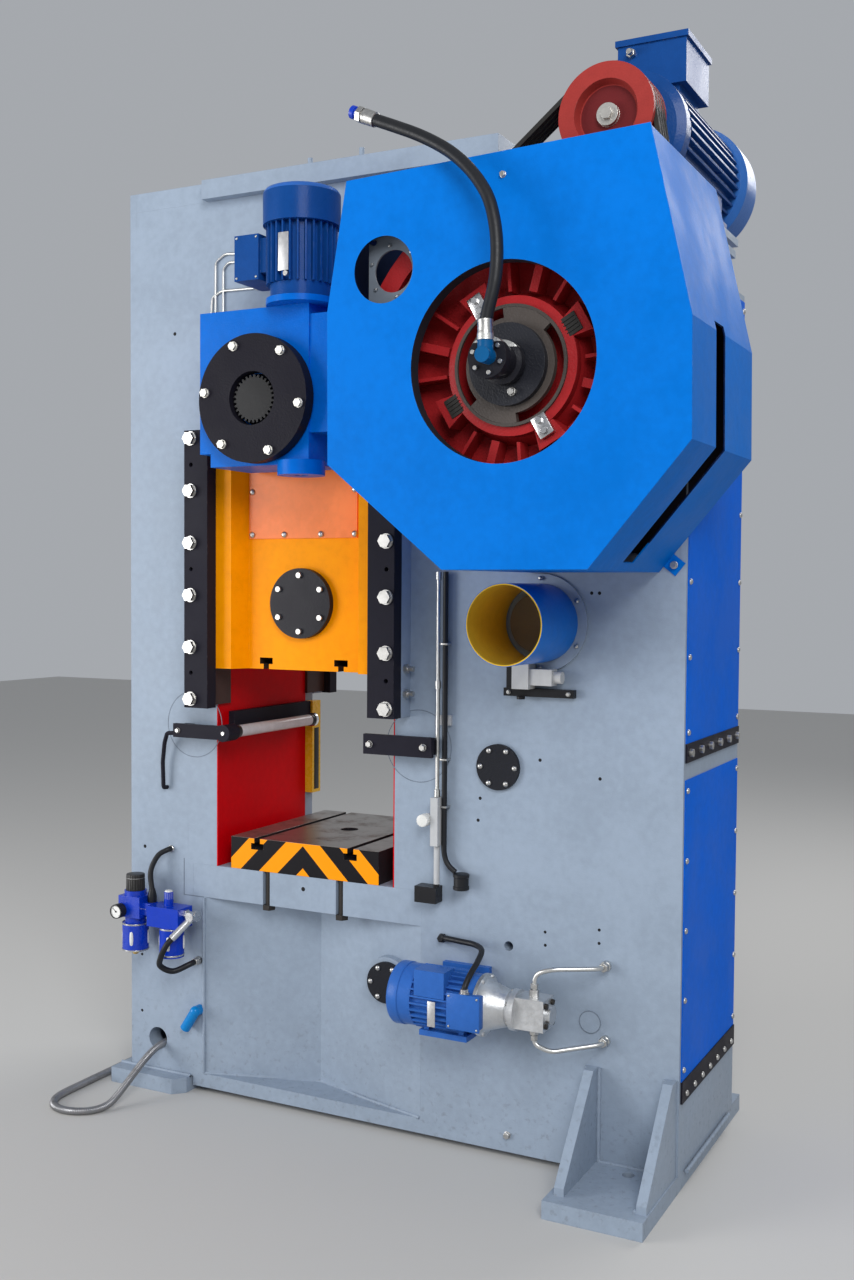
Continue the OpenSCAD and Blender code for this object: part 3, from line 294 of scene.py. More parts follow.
@cache
def grain_group():
    """Heights of sprayed enamel, sand-cast skin and fine scratches."""
    tree, start, end = group_of(
        "Press Grain",
        [("Scale", VALUE, 1.0)],
        [("Enamel", VALUE), ("Casting", VALUE), ("Scratches", VALUE)],
    )
    place = object_place(tree)
    scaled = put(
        tree, "ShaderNodeVectorMath", operation="SCALE", sockets={0: place, 3: start.outputs["Scale"]}
    )
    place = scaled.outputs["Vector"]
    enamel = plus(tree, noise(tree, place, 210.0, 2.0), times(tree, noise(tree, place, 9.0, 3.0), 1.6))
    cells = put(tree, "ShaderNodeTexVoronoi", sockets={"Vector": place, "Scale": 190.0}).outputs["Distance"]
    casting = plus(tree, cells, noise(tree, place, 75.0, 6.0, 0.65))
    lines = noise(tree, stretched(tree, place, (3.0, 420.0, 420.0)), 1.0, 3.0)
    cross = noise(tree, stretched(tree, place, (420.0, 9.0, 9.0)), 1.0, 2.0)
    scratches = plus(tree, lines, times(tree, cross, 0.4))
    wire(tree, end, {"Enamel": enamel, "Casting": casting, "Scratches": scratches})
    return tree


def use(tree, group, **sockets):
    """A node that runs one of the groups above, with values for its inputs."""
    return put(tree, "ShaderNodeGroup", node_tree=group(), sockets=sockets)


# Materials

DUST = (0.105, 0.094, 0.08, 1.0)
OIL = (0.035, 0.028, 0.022, 1.0)
BARE_STEEL = (0.42, 0.41, 0.4, 1.0)


def opaque(rgb, shade=1.0):
    """A shader's colour from three values, or from the name of one of PressPaint's colours."""
    if isinstance(rgb, str):
        rgb = getattr(settings().paint, rgb)
    return (*(value * shade for value in rgb), 1.0)


def new_material(name):
    material = bpy.data.materials.new(name)
    material.use_nodes = True
    return material, material.node_tree, material.node_tree.nodes["Principled BSDF"]


def bump(tree, height, distance, normal=None):
    sockets = {"Height": height, "Distance": distance}
    if normal is not None:
        sockets["Normal"] = normal
    return put(tree, "ShaderNodeBump", sockets=sockets).outputs["Normal"]


def enamel(
    rgb, rough, grain="Enamel", depth=0.0002, *, name, grime=1.0, coat=0.08, gloss=0.13, shade=1.0, layers=()
):
    """Paint over metal. layers are (mask, colour, metallic) on top of the base colour."""
    wear = settings().wear
    material, tree, shader = new_material(name)
    edge = use(tree, edge_group, Radius=wear.edge_round, Amount=wear.edge)
    dirt = use(tree, grime_group, Amount=wear.grime * grime)
    paint = opaque(rgb, shade)
    for mask, other, metal in layers:
        where = mask(tree)
        paint = mix_colour(tree, where, paint, opaque(other))
        if metal:
            wire(tree, shader, {"Metallic": times(tree, where, metal)})
    paint = use(tree, mottle_group, Color=paint, Amount=wear.mottle).outputs["Color"]
    paint = mix_colour(tree, dirt.outputs["Dust"], paint, DUST)
    paint = mix_colour(tree, dirt.outputs["Streaks"], paint, OIL)
    uneven = ramp(tree, noise(tree, object_place(tree), 6.0, 5.0), 0.3, 0.7, rough * 0.85, rough * 1.2)
    height = use(tree, grain_group).outputs[grain]
    wire(tree, shader, {
        "Base Color": mix_colour(tree, edge.outputs["Mask"], paint, BARE_STEEL),
        "Roughness": plus(tree, uneven, times(tree, dirt.outputs["Dust"], 0.5), clamp=True),
        "Normal": bump(tree, height, depth, edge.outputs["Normal"]),
        "Specular IOR Level": gloss,
        "Coat Weight": coat,
        "Coat Roughness": 0.15,
    })
    return material


def steel(rgb, rough=0.3, metal=1.0, grain="Scratches", depth=0.00006, stain=0.4, *, name):
    """Bare or plated metal with stains, and with tool marks where it has a depth."""
    wear = settings().wear
    material, tree, shader = new_material(name)
    place = object_place(tree)
    stains = times(tree, ramp(tree, noise(tree, place, 13.0, 8.0, 0.68), 0.48, 0.75), stain)
    base = use(tree, mottle_group, Color=opaque(rgb), Amount=wear.mottle * 0.8, Scale=17.0).outputs["Color"]
    fine = ramp(tree, noise(tree, place, 90.0, 3.0), 0.3, 0.7, rough * 0.8, rough * 1.25)
    wire(tree, shader, {
        "Base Color": mix_colour(tree, stains, base, OIL),
        "Roughness": plus(tree, fine, times(tree, stains, 0.35), clamp=True),
        "Metallic": metal,
    })
    if depth:
        edge = use(tree, edge_group, Radius=wear.edge_round * 0.6, Amount=0.0)
        height = use(tree, grain_group).outputs[grain]
        wire(tree, shader, {"Normal": bump(tree, height, depth, edge.outputs["Normal"])})
    return material


def soft_black(rgb, rough, dust, scale=120.0, *, name):
    """Rubber and moulded plastic, with dust in its fine grain; also the near-black of painted shade in
    tapped holes.
    """
    material, tree, shader = new_material(name)
    place = object_place(tree)
    fine = noise(tree, place, scale, 4.0, 0.6)
    dusty = times(tree, ramp(tree, noise(tree, place, 7.0, 7.0, 0.7), 0.45, 0.8), dust)
    wire(tree, shader, {
        "Base Color": mix_colour(tree, dusty, opaque(rgb), DUST),
        "Roughness": ramp(tree, fine, 0.3, 0.7, rough * 0.85, rough * 1.15),
        "Normal": bump(tree, fine, 0.00015),
        "Specular IOR Level": 0.3,
    })
    return material


def plastic(rgb, rough=0.28, *, name):
    """Smooth moulded plastic."""
    material, tree, shader = new_material(name)
    place = object_place(tree)
    edge = use(tree, edge_group, Radius=0.001, Amount=0.0)
    wire(tree, shader, {
        "Base Color": use(tree, mottle_group, Color=opaque(rgb), Amount=0.15, Scale=30.0).outputs["Color"],
        "Roughness": ramp(tree, noise(tree, place, 70.0), 0.3, 0.7, rough * 0.8, rough * 1.2),
        "Normal": bump(tree, noise(tree, place, 300.0, 2.0), 0.00005, edge.outputs["Normal"]),
    })
    return material


# Masks: each is a function that adds its nodes to a tree and returns 1 where the mask holds


def coordinate(tree, axis):
    return put(tree, "ShaderNodeSeparateXYZ", sockets={0: object_place(tree)}).outputs[axis]


def past(axis, place, operation="GREATER_THAN"):
    """What lies past a place on an axis, in millimetres."""
    limit = at(place, place, place)["XYZ".index(axis)]
    return lambda tree: math_node(tree, operation, coordinate(tree, axis), limit)


def short_of(axis, place):
    """What lies short of a place on an axis, in millimetres."""
    return past(axis, place, "LESS_THAN")


def near(x, z, reach):
    """What lies within reach of an axis that runs to the rear through x and z, in millimetres."""
    centre = at(x, 0, z)

    def mask(tree):
        dx = math_node(tree, "SUBTRACT", coordinate(tree, "X"), centre.x)
        dz = math_node(tree, "SUBTRACT", coordinate(tree, "Z"), centre.z)
        away = math_node(tree, "SQRT", plus(tree, times(tree, dx, dx), times(tree, dz, dz)))
        return math_node(tree, "LESS_THAN", away, reach * MM)

    return mask


def both(*masks):
    """Where all of the masks hold."""
    return lambda tree: reduce(partial(times, tree), [mask(tree) for mask in masks])


def either(*masks):
    """Where one of the masks holds."""
    return lambda tree: reduce(partial(math_node, tree, "MAXIMUM"), [mask(tree) for mask in masks])


def outside(mask):
    """Where a mask doesn't hold."""
    return lambda tree: math_node(tree, "SUBTRACT", 1.0, mask(tree))


def faces_wheel(tree):
    """The belt guard's faces that look inwards."""
    coords = put(tree, "ShaderNodeTexCoord")
    inside = at(WHEEL_X, -280, WHEEL_Z)
    away = put(
        tree, "ShaderNodeVectorMath", operation="SUBTRACT", sockets={0: coords.outputs["Object"], 1: inside}
    )
    facing = put(
        tree, "ShaderNodeVectorMath", operation="DOT_PRODUCT",
        sockets={0: away.outputs["Vector"], 1: coords.outputs["Normal"]},
    )
    return math_node(tree, "LESS_THAN", facing.outputs["Value"], 0.0)


def side_on(tree):
    """Faces that look neither to the front nor to the rear."""
    normal = put(tree, "ShaderNodeTexCoord").outputs["Normal"]
    depth = put(tree, "ShaderNodeSeparateXYZ", sockets={0: normal}).outputs["Y"]
    return math_node(tree, "LESS_THAN", math_node(tree, "ABSOLUTE", depth), 0.5)


# Painted shade: below the slot tops, the slide's faces that look sideways, up or down are painted dark
# brown, for the shade in its slots.
SLOT_TOP, SLOT_REACH = 1449, 165
SLIDE_SLOT_SHADE = both(
    side_on, short_of("Z", SLOT_TOP), past("X", SLIDE_X - SLOT_REACH), short_of("X", SLIDE_X + SLOT_REACH)
)
SHAFT_GUARD_INSIDE = near(CRANK_X, CRANK_Z, 110.5)
SHAFT_GUARD_FOOT = past("Y", -8.6)
GUARD_TAB = near(1863, 1731, 52)
# Painted shade: the guard's faces that look inwards are painted near-black blue, for the shade inside the
# guard.
GUARD_INNER_SHADE = both(faces_wheel, outside(GUARD_TAB))
# Painted shade: the collar's wall inside the big opening is painted near-black, for the shade in the
# opening.
GUARD_COLLAR_SHADE = both(near(WHEEL_X, WHEEL_Z, 251), outside(short_of("Y", -559.5)))
GUARD_PORTS = both(short_of("Y", -505), past("Y", -517), near(PORTS_X, PORTS_Z, 130))
# Painted shade: the pulley's recess is painted a darker red, for the shade inside it.
PULLEY_RECESS_SHADE = near(MOTOR_X, MOTOR_Z, 70)
PULLEY_WASHER = near(MOTOR_X, MOTOR_Z, 27.6)
LUBRICATOR_BAR = both(short_of("Y", -108.6), past("X", 240))
LUBRICATOR_FITTING = both(either(LUBRICATOR_BAR, past("X", 275.4)), past("Z", 500))
DRAIN_ELBOW = short_of("Z", 320)
SWITCH_BODY = short_of("Z", 790)
VALVE_FOOT = either(short_of("Z", 1380.5), short_of("X", 1411))
CLUTCH_CAP = short_of("Y", -505.5)
HUB_RIM = both(near(WHEEL_X, WHEEL_Z, 150.3), short_of("Y", -497.5))
UNION_ELBOW = short_of("Y", -640.5)
UNION_RING = past("Z", WHEEL_Z + 35)
FLANGE_BOLTS = short_of("Y", -285.3)
FAN_COWL = past("Y", 207)
PLUG_DISC = near(1635, 443, 34)

STRIPE_PITCH = 0.14
STRIPE_SHIFT = 0.115
SKIN = 0.0005


def bolster_finish(name):
    """Chevrons on the front, a machined top and black sides."""
    low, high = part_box("bolster")
    material, tree, shader = new_material(name)
    edge = use(tree, edge_group, Radius=0.0015, Amount=0.8)
    middle = (low.x + high.x) / 2
    aside = math_node(tree, "ABSOLUTE", math_node(tree, "SUBTRACT", coordinate(tree, "X"), middle))
    rise = plus(tree, math_node(tree, "SUBTRACT", coordinate(tree, "Z"), low.z), aside)
    wave = math_node(tree, "FRACT", times(tree, plus(tree, rise, STRIPE_SHIFT), 1 / STRIPE_PITCH))
    stripe = math_node(tree, "GREATER_THAN", wave, 0.5)
    front = math_node(tree, "LESS_THAN", coordinate(tree, "Y"), low.y + SKIN)
    paints = mix_colour(tree, stripe, (0.008, 0.007, 0.009, 1), opaque("hazard_orange"))
    paints = mix_colour(tree, front, (0.02, 0.019, 0.022, 1), paints)
    top = math_node(tree, "GREATER_THAN", coordinate(tree, "Z"), high.z - SKIN)
    stains = ramp(tree, noise(tree, object_place(tree), 9.0, 9.0, 0.7), 0.42, 0.72)
    bare = mix_colour(tree, stains, (0.33, 0.31, 0.285, 1), (0.16, 0.135, 0.115, 1))
    base = mix_colour(tree, math_node(tree, "MAXIMUM", top, edge.outputs["Mask"]), paints, bare)
    dirt = use(tree, grime_group, Amount=0.4)
    height = use(tree, grain_group).outputs["Scratches"]
    wire(tree, shader, {
        "Base Color": mix_colour(tree, dirt.outputs["Dust"], base, DUST),
        "Specular IOR Level": 0.12,
        "Metallic": times(tree, top, 0.85),
        "Roughness": ramp(tree, stains, 0.0, 1.0, 0.32, 0.5),
        "Normal": bump(tree, height, 0.00012, edge.outputs["Normal"]),
    })
    return material


MOULDED_BLACK = (0.018, 0.018, 0.02)
FINISHES = {
    "frame_enamel": partial(enamel, "frame_grey", 0.42, depth=0.0004, grime=0.8),
    "guard_enamel": partial(
        enamel, "guard_blue", 0.45, depth=0.0003, grime=0.0, coat=0.0, gloss=0.06,
        layers=[
            # The first two layers are painted shade, near-black inside the guard and in its collar. The
            # third is the ports plate's own grey.
            (GUARD_INNER_SHADE, (0.003, 0.012, 0.06), 0), (GUARD_COLLAR_SHADE, (0.02, 0.022, 0.03), 0),
            (GUARD_PORTS, (0.15, 0.175, 0.21), 0),
        ],
    ),
    "panel_enamel": partial(enamel, "panel_blue", 0.45, shade=1.5, grime=0.05, coat=0.0, gloss=0.03),
    "gearbox_enamel": partial(enamel, "gearbox_blue", 0.32, depth=0.0006, grime=0.1, coat=0.03, gloss=0.06),
    "motor_enamel": partial(enamel, "motor_blue", 0.32, "Casting", 0.0003, grime=0.1, coat=0.04, gloss=0.07),
    "pump_enamel": partial(enamel, "pump_blue", 0.3, "Casting", 0.0003, grime=0.5),
    "slide_enamel": partial(
        enamel, "slide_orange", 0.35, depth=0.0003, grime=0.1, coat=0.03, gloss=0.05,
        # The layer is painted shade in the slide's slots.
        layers=[(SLIDE_SLOT_SHADE, (0.05, 0.03, 0.02), 0)],
    ),
    "slide_cover_enamel": partial(enamel, "cover_orange", 0.28, grime=0.3, coat=0.12),
    "window_enamel": partial(enamel, "window_red", 0.4, depth=0.0005, grime=0.1, coat=0.03, gloss=0.05),
    "wheel_enamel": partial(
        enamel, "wheel_red", 0.42, "Casting", 0.0006, grime=0.9, layers=[(HUB_RIM, (0.07, 0.06, 0.055), 0.2)]
    ),
    "pulley_enamel": partial(
        enamel, "pulley_red", 0.42, "Casting", 0.0003, grime=0.4,
        # The recess layer is painted shade; the washer layer is zinc.
        layers=[(PULLEY_RECESS_SHADE, (0.13, 0.014, 0.016), 0), (PULLEY_WASHER, (0.62, 0.6, 0.56), 0.9)],
    ),
    "black_enamel": partial(
        enamel, (0.017, 0.016, 0.024), 0.45, depth=0.0003, grime=0.1, coat=0.0, gloss=0.06
    ),
    "shaft_guard_enamel": partial(
        enamel, "guard_blue", 0.32, grime=0.3,
        layers=[(SHAFT_GUARD_INSIDE, "tube_yellow", 0), (SHAFT_GUARD_FOOT, "frame_grey", 0)],
    ),
    "main_motor_enamel": partial(
        enamel, "motor_blue", 0.3, "Casting", 0.0003, grime=0.4, layers=[(FAN_COWL, (0.03, 0.13, 0.42), 0)]
    ),
    "union_finish": partial(
        enamel, (0.013, 0.013, 0.018), 0.38, "Casting", 0.0003, grime=0.4,
        layers=[(UNION_ELBOW, (0.0, 0.085, 0.24), 0), (UNION_RING, (0.62, 0.62, 0.6), 0.9)],
    ),
    "flange_finish": partial(
        enamel, (0.013, 0.012, 0.018), 0.45, "Casting", 0.0004, grime=0.1, coat=0.0, gloss=0.08,
        layers=[(FLANGE_BOLTS, (0.72, 0.7, 0.65), 0.9)],
    ),
    "cover_finish": partial(
        enamel, (0.014, 0.015, 0.02), 0.42, "Casting", 0.0003, grime=0.4,
        layers=[(PLUG_DISC, "frame_grey", 0)],
    ),
    "iron_cover": partial(enamel, (0.018, 0.017, 0.022), 0.42, "Casting", 0.0003, grime=0.4),
    "bronze": partial(steel, (0.55, 0.34, 0.13), 0.35),
    "oily_bronze": partial(enamel, (0.06, 0.034, 0.028), 0.34, "Scratches", 0.0001),
    "dark_steel": partial(enamel, (0.035, 0.031, 0.028), 0.4, "Scratches", 0.0001, grime=1.2),
    # Near-black: painted shade in the hole of the adjuster's flange, on the pivot shaft inside it.
    "socket_dark": partial(enamel, (0.006, 0.006, 0.007), 0.3, "Scratches", 0.0001, grime=0.1),
    "shaft_face": partial(enamel, (0.15, 0.135, 0.125), 0.45, "Scratches", 0.0001, grime=1.2),
    "tube_steel": partial(steel, (0.66, 0.66, 0.64), 0.34, depth=0, stain=0.1),
    "service_finish": partial(
        enamel, "service_blue", 0.25, depth=0.00006, grime=0.2, coat=0.3,
        layers=[(LUBRICATOR_FITTING, (0.66, 0.66, 0.66), 0.9), (DRAIN_ELBOW, (0.0, 0.2, 0.55), 0)],
    ),
    "switch_finish": partial(
        enamel, (0.5, 0.51, 0.52), 0.3, depth=0.00006, grime=0.5, layers=[(SWITCH_BODY, MOULDED_BLACK, 0)]
    ),
    "valve_finish": partial(
        enamel, (0.55, 0.55, 0.54), 0.35, "Casting", 0.0001, grime=0.5,
        layers=[(VALVE_FOOT, MOULDED_BLACK, 0)],
    ),
    "zinc": partial(steel, (0.55, 0.54, 0.52), 0.36, depth=0.000015, stain=0.3),
    "ground_steel": partial(steel, (0.5, 0.5, 0.49), 0.24),
    "forged_iron": partial(steel, (0.2, 0.2, 0.21), 0.4, 0.7, "Casting", 0.0003),
    "clutch_iron": partial(
        enamel, (0.07, 0.058, 0.052), 0.45, "Casting", 0.0006, grime=0.8, gloss=0.25,
        layers=[(CLUTCH_CAP, (0.014, 0.015, 0.021), 0)],
    ),
    # Near-black: painted shade in the tapped holes, and the real black of the gauge's ticks, needle and hub.
    "hole_dark": partial(soft_black, (0.006, 0.006, 0.007), 0.7, 0.1),
    "seam_dark": partial(enamel, "frame_grey", 0.5, shade=0.6),
    "bead_enamel": partial(enamel, "frame_grey", 0.42, "Casting", 0.0006),
    "alloy": partial(steel, (0.68, 0.69, 0.7), 0.38, 0.9, "Casting", 0.0002, 0.25),
    "valve_steel": partial(steel, (0.6, 0.6, 0.61), 0.25, stain=0.2),
    "chrome": partial(steel, (0.78, 0.78, 0.79), 0.12, stain=0.1),
    "conduit_steel": partial(steel, (0.33, 0.33, 0.34), 0.36, 0.85, stain=0.5),
    "belt_rubber": partial(soft_black, (0.02, 0.019, 0.018), 0.6, 0.5),
    "hose_rubber": partial(soft_black, (0.011, 0.012, 0.015), 0.42, 0.08),
    "black_plastic": partial(soft_black, (0.015, 0.015, 0.016), 0.38, 0.2, 240.0),
    "service_plastic": partial(plastic, "service_blue"),
    "yellow_plastic": partial(plastic, (0.82, 0.5, 0.02)),
    "white_plastic": partial(plastic, (0.75, 0.75, 0.72)),
    "dial_white": partial(plastic, (0.82, 0.82, 0.8), 0.5),
    "lamp_tube": partial(plastic, (0.62, 0.64, 0.65), 0.12),
    "bolster_finish": bolster_finish,
    "bare_label": partial(steel, (0.62, 0.62, 0.62), 0.42, 0.8, stain=0.2),
}
NODE_FINISHES = {
    "frame_enamel": (
        "frame_front frame_rear frame_walls crown_plate bed_plate bed_recess foot_left foot_right gib_rails "
        "motor_base"
    ),
    "guard_enamel": "belt_guard",
    "panel_enamel": "side_panels",
    "gearbox_enamel": "adjust_housing",
    "main_motor_enamel": "main_motor",
    "motor_enamel": "adjust_motor",
    "pump_enamel": "lube_motor",
    "slide_enamel": "slide",
    "slide_cover_enamel": "slide_cover",
    "window_enamel": "window_liners",
    "wheel_enamel": "flywheel",
    "pulley_enamel": "motor_pulley",
    "black_enamel": "gib_keepers side_strips lamp_brackets",
    "flange_finish": "adjust_flange",
    "shaft_guard_enamel": "shaft_guard",
    "iron_cover": "pin_cover",
    "cover_finish": "frame_covers",
    "union_finish": "rotary_union",
    "bronze": "shaft_bushes",
    "oily_bronze": "gib_liners",
    "zinc": "frame_bolts",
    "dark_steel": "bolster_bolts",
    "socket_dark": "pivot_shaft",
    "shaft_face": "crankshaft",
    "ground_steel": "drive_shaft worm_shaft countershaft",
    "forged_iron": "upper_link lower_link bearing_housing",
    "clutch_iron": "clutch_hub",
    "alloy": "lube_pump",
    "valve_finish": "limit_valve",
    "switch_finish": "pressure_switch",
    "chrome": "lamp",
    "belt_rubber": "drive_belts",
    "service_plastic": "air_regulator",
    "service_finish": "lubricator",
    "yellow_plastic": "light_curtain",
    "bolster_finish": "bolster",
}


@cache
def finish(name):
    """The material of that name, made when it is first asked for."""
    return FINISHES[name](name=name)


# Mesh tools


def keep(bm, name, material, body="frame", angle=40.0):
    """The finished mesh as an object at the origin that rides on a body."""
    bmesh.ops.remove_doubles(bm, verts=bm.verts, dist=MERGE)
    bmesh.ops.recalc_face_normals(bm, faces=bm.faces)
    mesh = bpy.data.meshes.new(name)
    bm.to_mesh(mesh)
    bm.free()
    mesh.polygons.foreach_set("use_smooth", [True] * len(mesh.polygons))
    mesh.set_sharp_from_angle(angle=math.radians(angle))
    piece = bpy.data.objects.new(name, mesh)
    bpy.context.scene.collection.objects.link(piece)
    for one in material if isinstance(material, (list, tuple)) else [material]:
        mesh.materials.append(finish(one))
    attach(piece, body)
    return piece


def stood(centre, axis):
    """The transform that moves a shape made along Z to a place and turns it along an axis."""
    turn = Vector(UP).rotation_difference(Vector(axis).normalized()).to_matrix().to_4x4()
    return Matrix.Translation(centre) @ turn


def spun(place, degrees):
    """The transform that moves a shape to a place and turns it about the axis to the rear there."""
    return Matrix.Translation(place) @ Matrix.Rotation(math.radians(degrees), 4, "Y")


@contextmanager
def shifted(bm, matrix):
    """Moves by a matrix what is made inside its with block."""
    old = set(bm.verts)
    yield
    bmesh.ops.transform(bm, matrix=matrix, verts=[v for v in bm.verts if v not in old])


def faces_of(verts):
    return {f for v in verts for f in v.link_faces}


def turned(bm, profile, centre, axis, steps, material=0):
    """A closed or open profile of (radius, height) in millimetres, spun about an axis."""
    points = [bm.verts.new(mm(r, 0, h)) for r, h in profile]
    edges = [bm.edges.new(pair) for pair in zip(points, points[1:])]
    old = set(bm.faces)
    bmesh.ops.spin(
        bm, geom=points + edges, cent=(0, 0, 0), axis=(0, 0, 1), dvec=(0, 0, 0), angle=2 * math.pi,
        steps=steps, use_merge=True,
    )
    faces = [f for f in bm.faces if f not in old]
    verts = list({v for f in faces for v in f.verts})
    bmesh.ops.transform(bm, matrix=stood(centre, axis), verts=verts)
    for f in faces:
        f.material_index = material
    bmesh.ops.remove_doubles(bm, verts=verts, dist=MERGE)


def stud(radius, height, rim, fall=None):
    """Profile of a round head whose rim is turned off at a slope."""
    return [(0, height), (radius - rim, height), (radius, height - (fall or rim)), (radius, 0), (0, 0)]


def block(bm, low, high, bevel=0.0, material=0):
    """A box between two corners, with rounded edges."""
    made = bmesh.ops.create_cube(bm, size=1.0)["verts"]
    bmesh.ops.scale(bm, vec=high - low, verts=made)
    bmesh.ops.translate(bm, vec=(low + high) / 2, verts=made)
    for f in faces_of(made):
        f.material_index = material
    if bevel:
        bmesh.ops.bevel(
            bm, geom=list({e for v in made for e in v.link_edges}), offset=bevel, offset_type="OFFSET",
            segments=2, profile=0.5, affect="EDGES", material=-1, clamp_overlap=True,
        )


def box_mm(bm, low, high, bevel=0.0):
    block(bm, at(*low), at(*high), bevel * MM)


def crown(bm, made, matrix, height, bevel, segments):
    """Rounds the upper edge of a cone just made, stands it on Z = 0 and moves it by a matrix."""
    top = [f for f in faces_of(made) if f.normal.z > 0.9]
    grown = bmesh.ops.bevel(
        bm, geom=list({e for f in top for e in f.edges}), offset=bevel * MM, offset_type="OFFSET",
        segments=segments, profile=0.5, affect="EDGES", material=-1, clamp_overlap=True,
    )
    verts = list({v for f in grown["faces"] for v in f.verts} | {v for v in made if v.is_valid})
    bmesh.ops.transform(bm, matrix=matrix @ Matrix.Translation(mm(0, 0, height / 2)), verts=verts)


def hexagon(bm, centre, axis, across, height):
    """A hexagon head or nut whose corners are turned off."""
    r = across / 2 / math.cos(math.pi / 6) * MM
    made = bmesh.ops.create_cone(bm, cap_ends=True, segments=6, radius1=r, radius2=r, depth=height * MM)
    crown(bm, made["verts"], stood(centre, axis), height, across * 0.06, 1)


def fluted(bm, centre, axis, radius, depth, count, height):
    """A round knob with grooves along its side."""
    made = bmesh.ops.create_cone(
        bm, cap_ends=True, segments=count * 4, radius1=radius * MM, radius2=radius * MM * 0.97,
        depth=height * MM,
    )["verts"]
    for vert in made:
        turn = math.atan2(vert.co.y, vert.co.x) / (2 * math.pi) * count * 4
        if round(turn) % 4 == 0:
            vert.co.x *= 1 - depth / radius
            vert.co.y *= 1 - depth / radius
    crown(bm, made, stood(centre, axis), height, 1.5, 2)


DOMED_SCREW = [(1.0, 0), (1.0, 0.2), (0.85, 0.5), (0.5, 0.72), (0.0, 0.8)]


def screw(bm, centre, axis, radius):
    turned(bm, [(r * radius, h * radius) for r, h in DOMED_SCREW], centre, axis, 14)


def hex_bolt(bm, place, across):
    """A hexagon bolt with its washer, that looks forwards."""
    lift = across * 0.1
    washer = [(0, 0), (across * 0.64, 0), (across * 0.64, lift * 0.8), (across * 0.61, lift), (0, lift)]
    turned(bm, washer, at(*place), FRONT, 20)
    hexagon(bm, at(*place) + Vector(FRONT) * (lift - 0.2) * MM, FRONT, across, across * 0.55)


def smooth_line(points, step):
    """Evenly spaced points on a smooth curve through the given ones."""
    points = [Vector(p) for p in points]
    ends = [2 * points[0] - points[1]] + points + [2 * points[-1] - points[-2]]
    dense = []
    for i in range(len(points) - 1):
        a, b, c, d = ends[i : i + 4]
        for k in range(16):
            t = k / 16
            square = (2 * a - 5 * b + 4 * c - d) * t * t
            cube = (3 * b - a - 3 * c + d) * t**3
            dense.append(0.5 * (2 * b + (c - a) * t + square + cube))
    dense.append(points[-1])
    reach = [0.0]
    for a, b in zip(dense, dense[1:]):
        reach.append(reach[-1] + (b - a).length)
    count = max(2, round(reach[-1] / step))
    line, i = [], 0
    for k in range(count + 1):
        goal = reach[-1] * k / count
        while i < len(dense) - 2 and reach[i + 1] < goal:
            i += 1
        span = reach[i + 1] - reach[i]
        line.append(dense[i].lerp(dense[i + 1], (goal - reach[i]) / span if span else 0.0))
    return line


def tube(bm, line, radii, sides=14):
    """A tube along a line, as a grid that is wrapped round it. radii is a number or one per point."""
    if not bm.loops.layers.uv:
        bm.loops.layers.uv.new("UVMap")
    rows = len(line)
    radii = radii if isinstance(radii, list) else [radii] * rows
    made = bmesh.ops.create_grid(bm, x_segments=rows - 1, y_segments=sides, size=1.0, calc_uvs=True)["verts"]
    headings = [(line[min(i + 1, rows - 1)] - line[max(i - 1, 0)]).normalized() for i in range(rows)]
    side = headings[0].orthogonal().normalized()
    frames = []
    for heading in headings:
        side = (side - heading * side.dot(heading)).normalized()
        frames.append((side, heading.cross(side)))
    for vert in made:
        i = round((vert.co.x + 1) / 2 * (rows - 1))
        turn = (vert.co.y + 1) * math.pi
        u, w = frames[i]
        vert.co = line[i] + radii[i] * (math.cos(turn) * u + math.sin(turn) * w)
    bmesh.ops.remove_doubles(bm, verts=made, dist=MERGE)
    bmesh.ops.holes_fill(bm, edges=[e for e in bm.edges if e.is_boundary], sides=0)


def ribbed(line, radius, depth, pitch, step):
    """Radii that make ribs of a pitch along an evenly spaced line."""
    every = max(2, round(pitch / step))
    return [radius if i % every < every / 2 else radius - depth for i in range(len(line))]


def round_line(points, step=6.0):
    return smooth_line([at(*p) for p in points], step * MM)


def eased(points, ease):
    """A route in millimetres with its corners rounded over a distance on either side."""
    points = [Vector(p) for p in points]
    line = [points[0]]
    for a, b, c in zip(points, points[1:], points[2:]):
        start, end = b + (a - b).normalized() * ease, b + (c - b).normalized() * ease
        line += [start * (1 - t) ** 2 + b * 2 * t * (1 - t) + end * t * t for t in (k / 6 for k in range(7))]
    line.append(points[-1])
    return [at(*p) for p in line]


def plate(bm, outline, y0, y1):
    """A flat plate from an outline in X and Z, between two depths, in millimetres."""
    verts = [bm.verts.new(at(x, y0, z)) for x, z in outline]
    face = bmesh.ops.contextual_create(bm, geom=verts)["faces"][0]
    grown = bmesh.ops.extrude_face_region(bm, geom=[face], use_keep_orig=True)["geom"]
    moved = [v for v in grown if isinstance(v, bmesh.types.BMVert)]
    bmesh.ops.translate(bm, vec=mm(0, y1 - y0, 0), verts=moved)


def circle(radius, count, first=0.0):
    """Pairs of offsets to places spread evenly on a circle, counter-clockwise."""
    angles = [math.radians(first + 360 * i / count) for i in range(count)]
    return [(radius * math.cos(a), radius * math.sin(a)) for a in angles]


def around(centre, radius, count, first=0.0):
    """Places on a circle, counter-clockwise as seen from the front, in millimetres."""
    x, y, z = centre
    return [(x + dx, y, z + dz) for dx, dz in circle(radius, count, first)]


def spread(start, end, steps):
    """Evenly spaced values from start to end."""
    return [start + (end - start) * i / steps for i in range(steps + 1)]


# Places that repeat those of the CAD source, in its millimetres

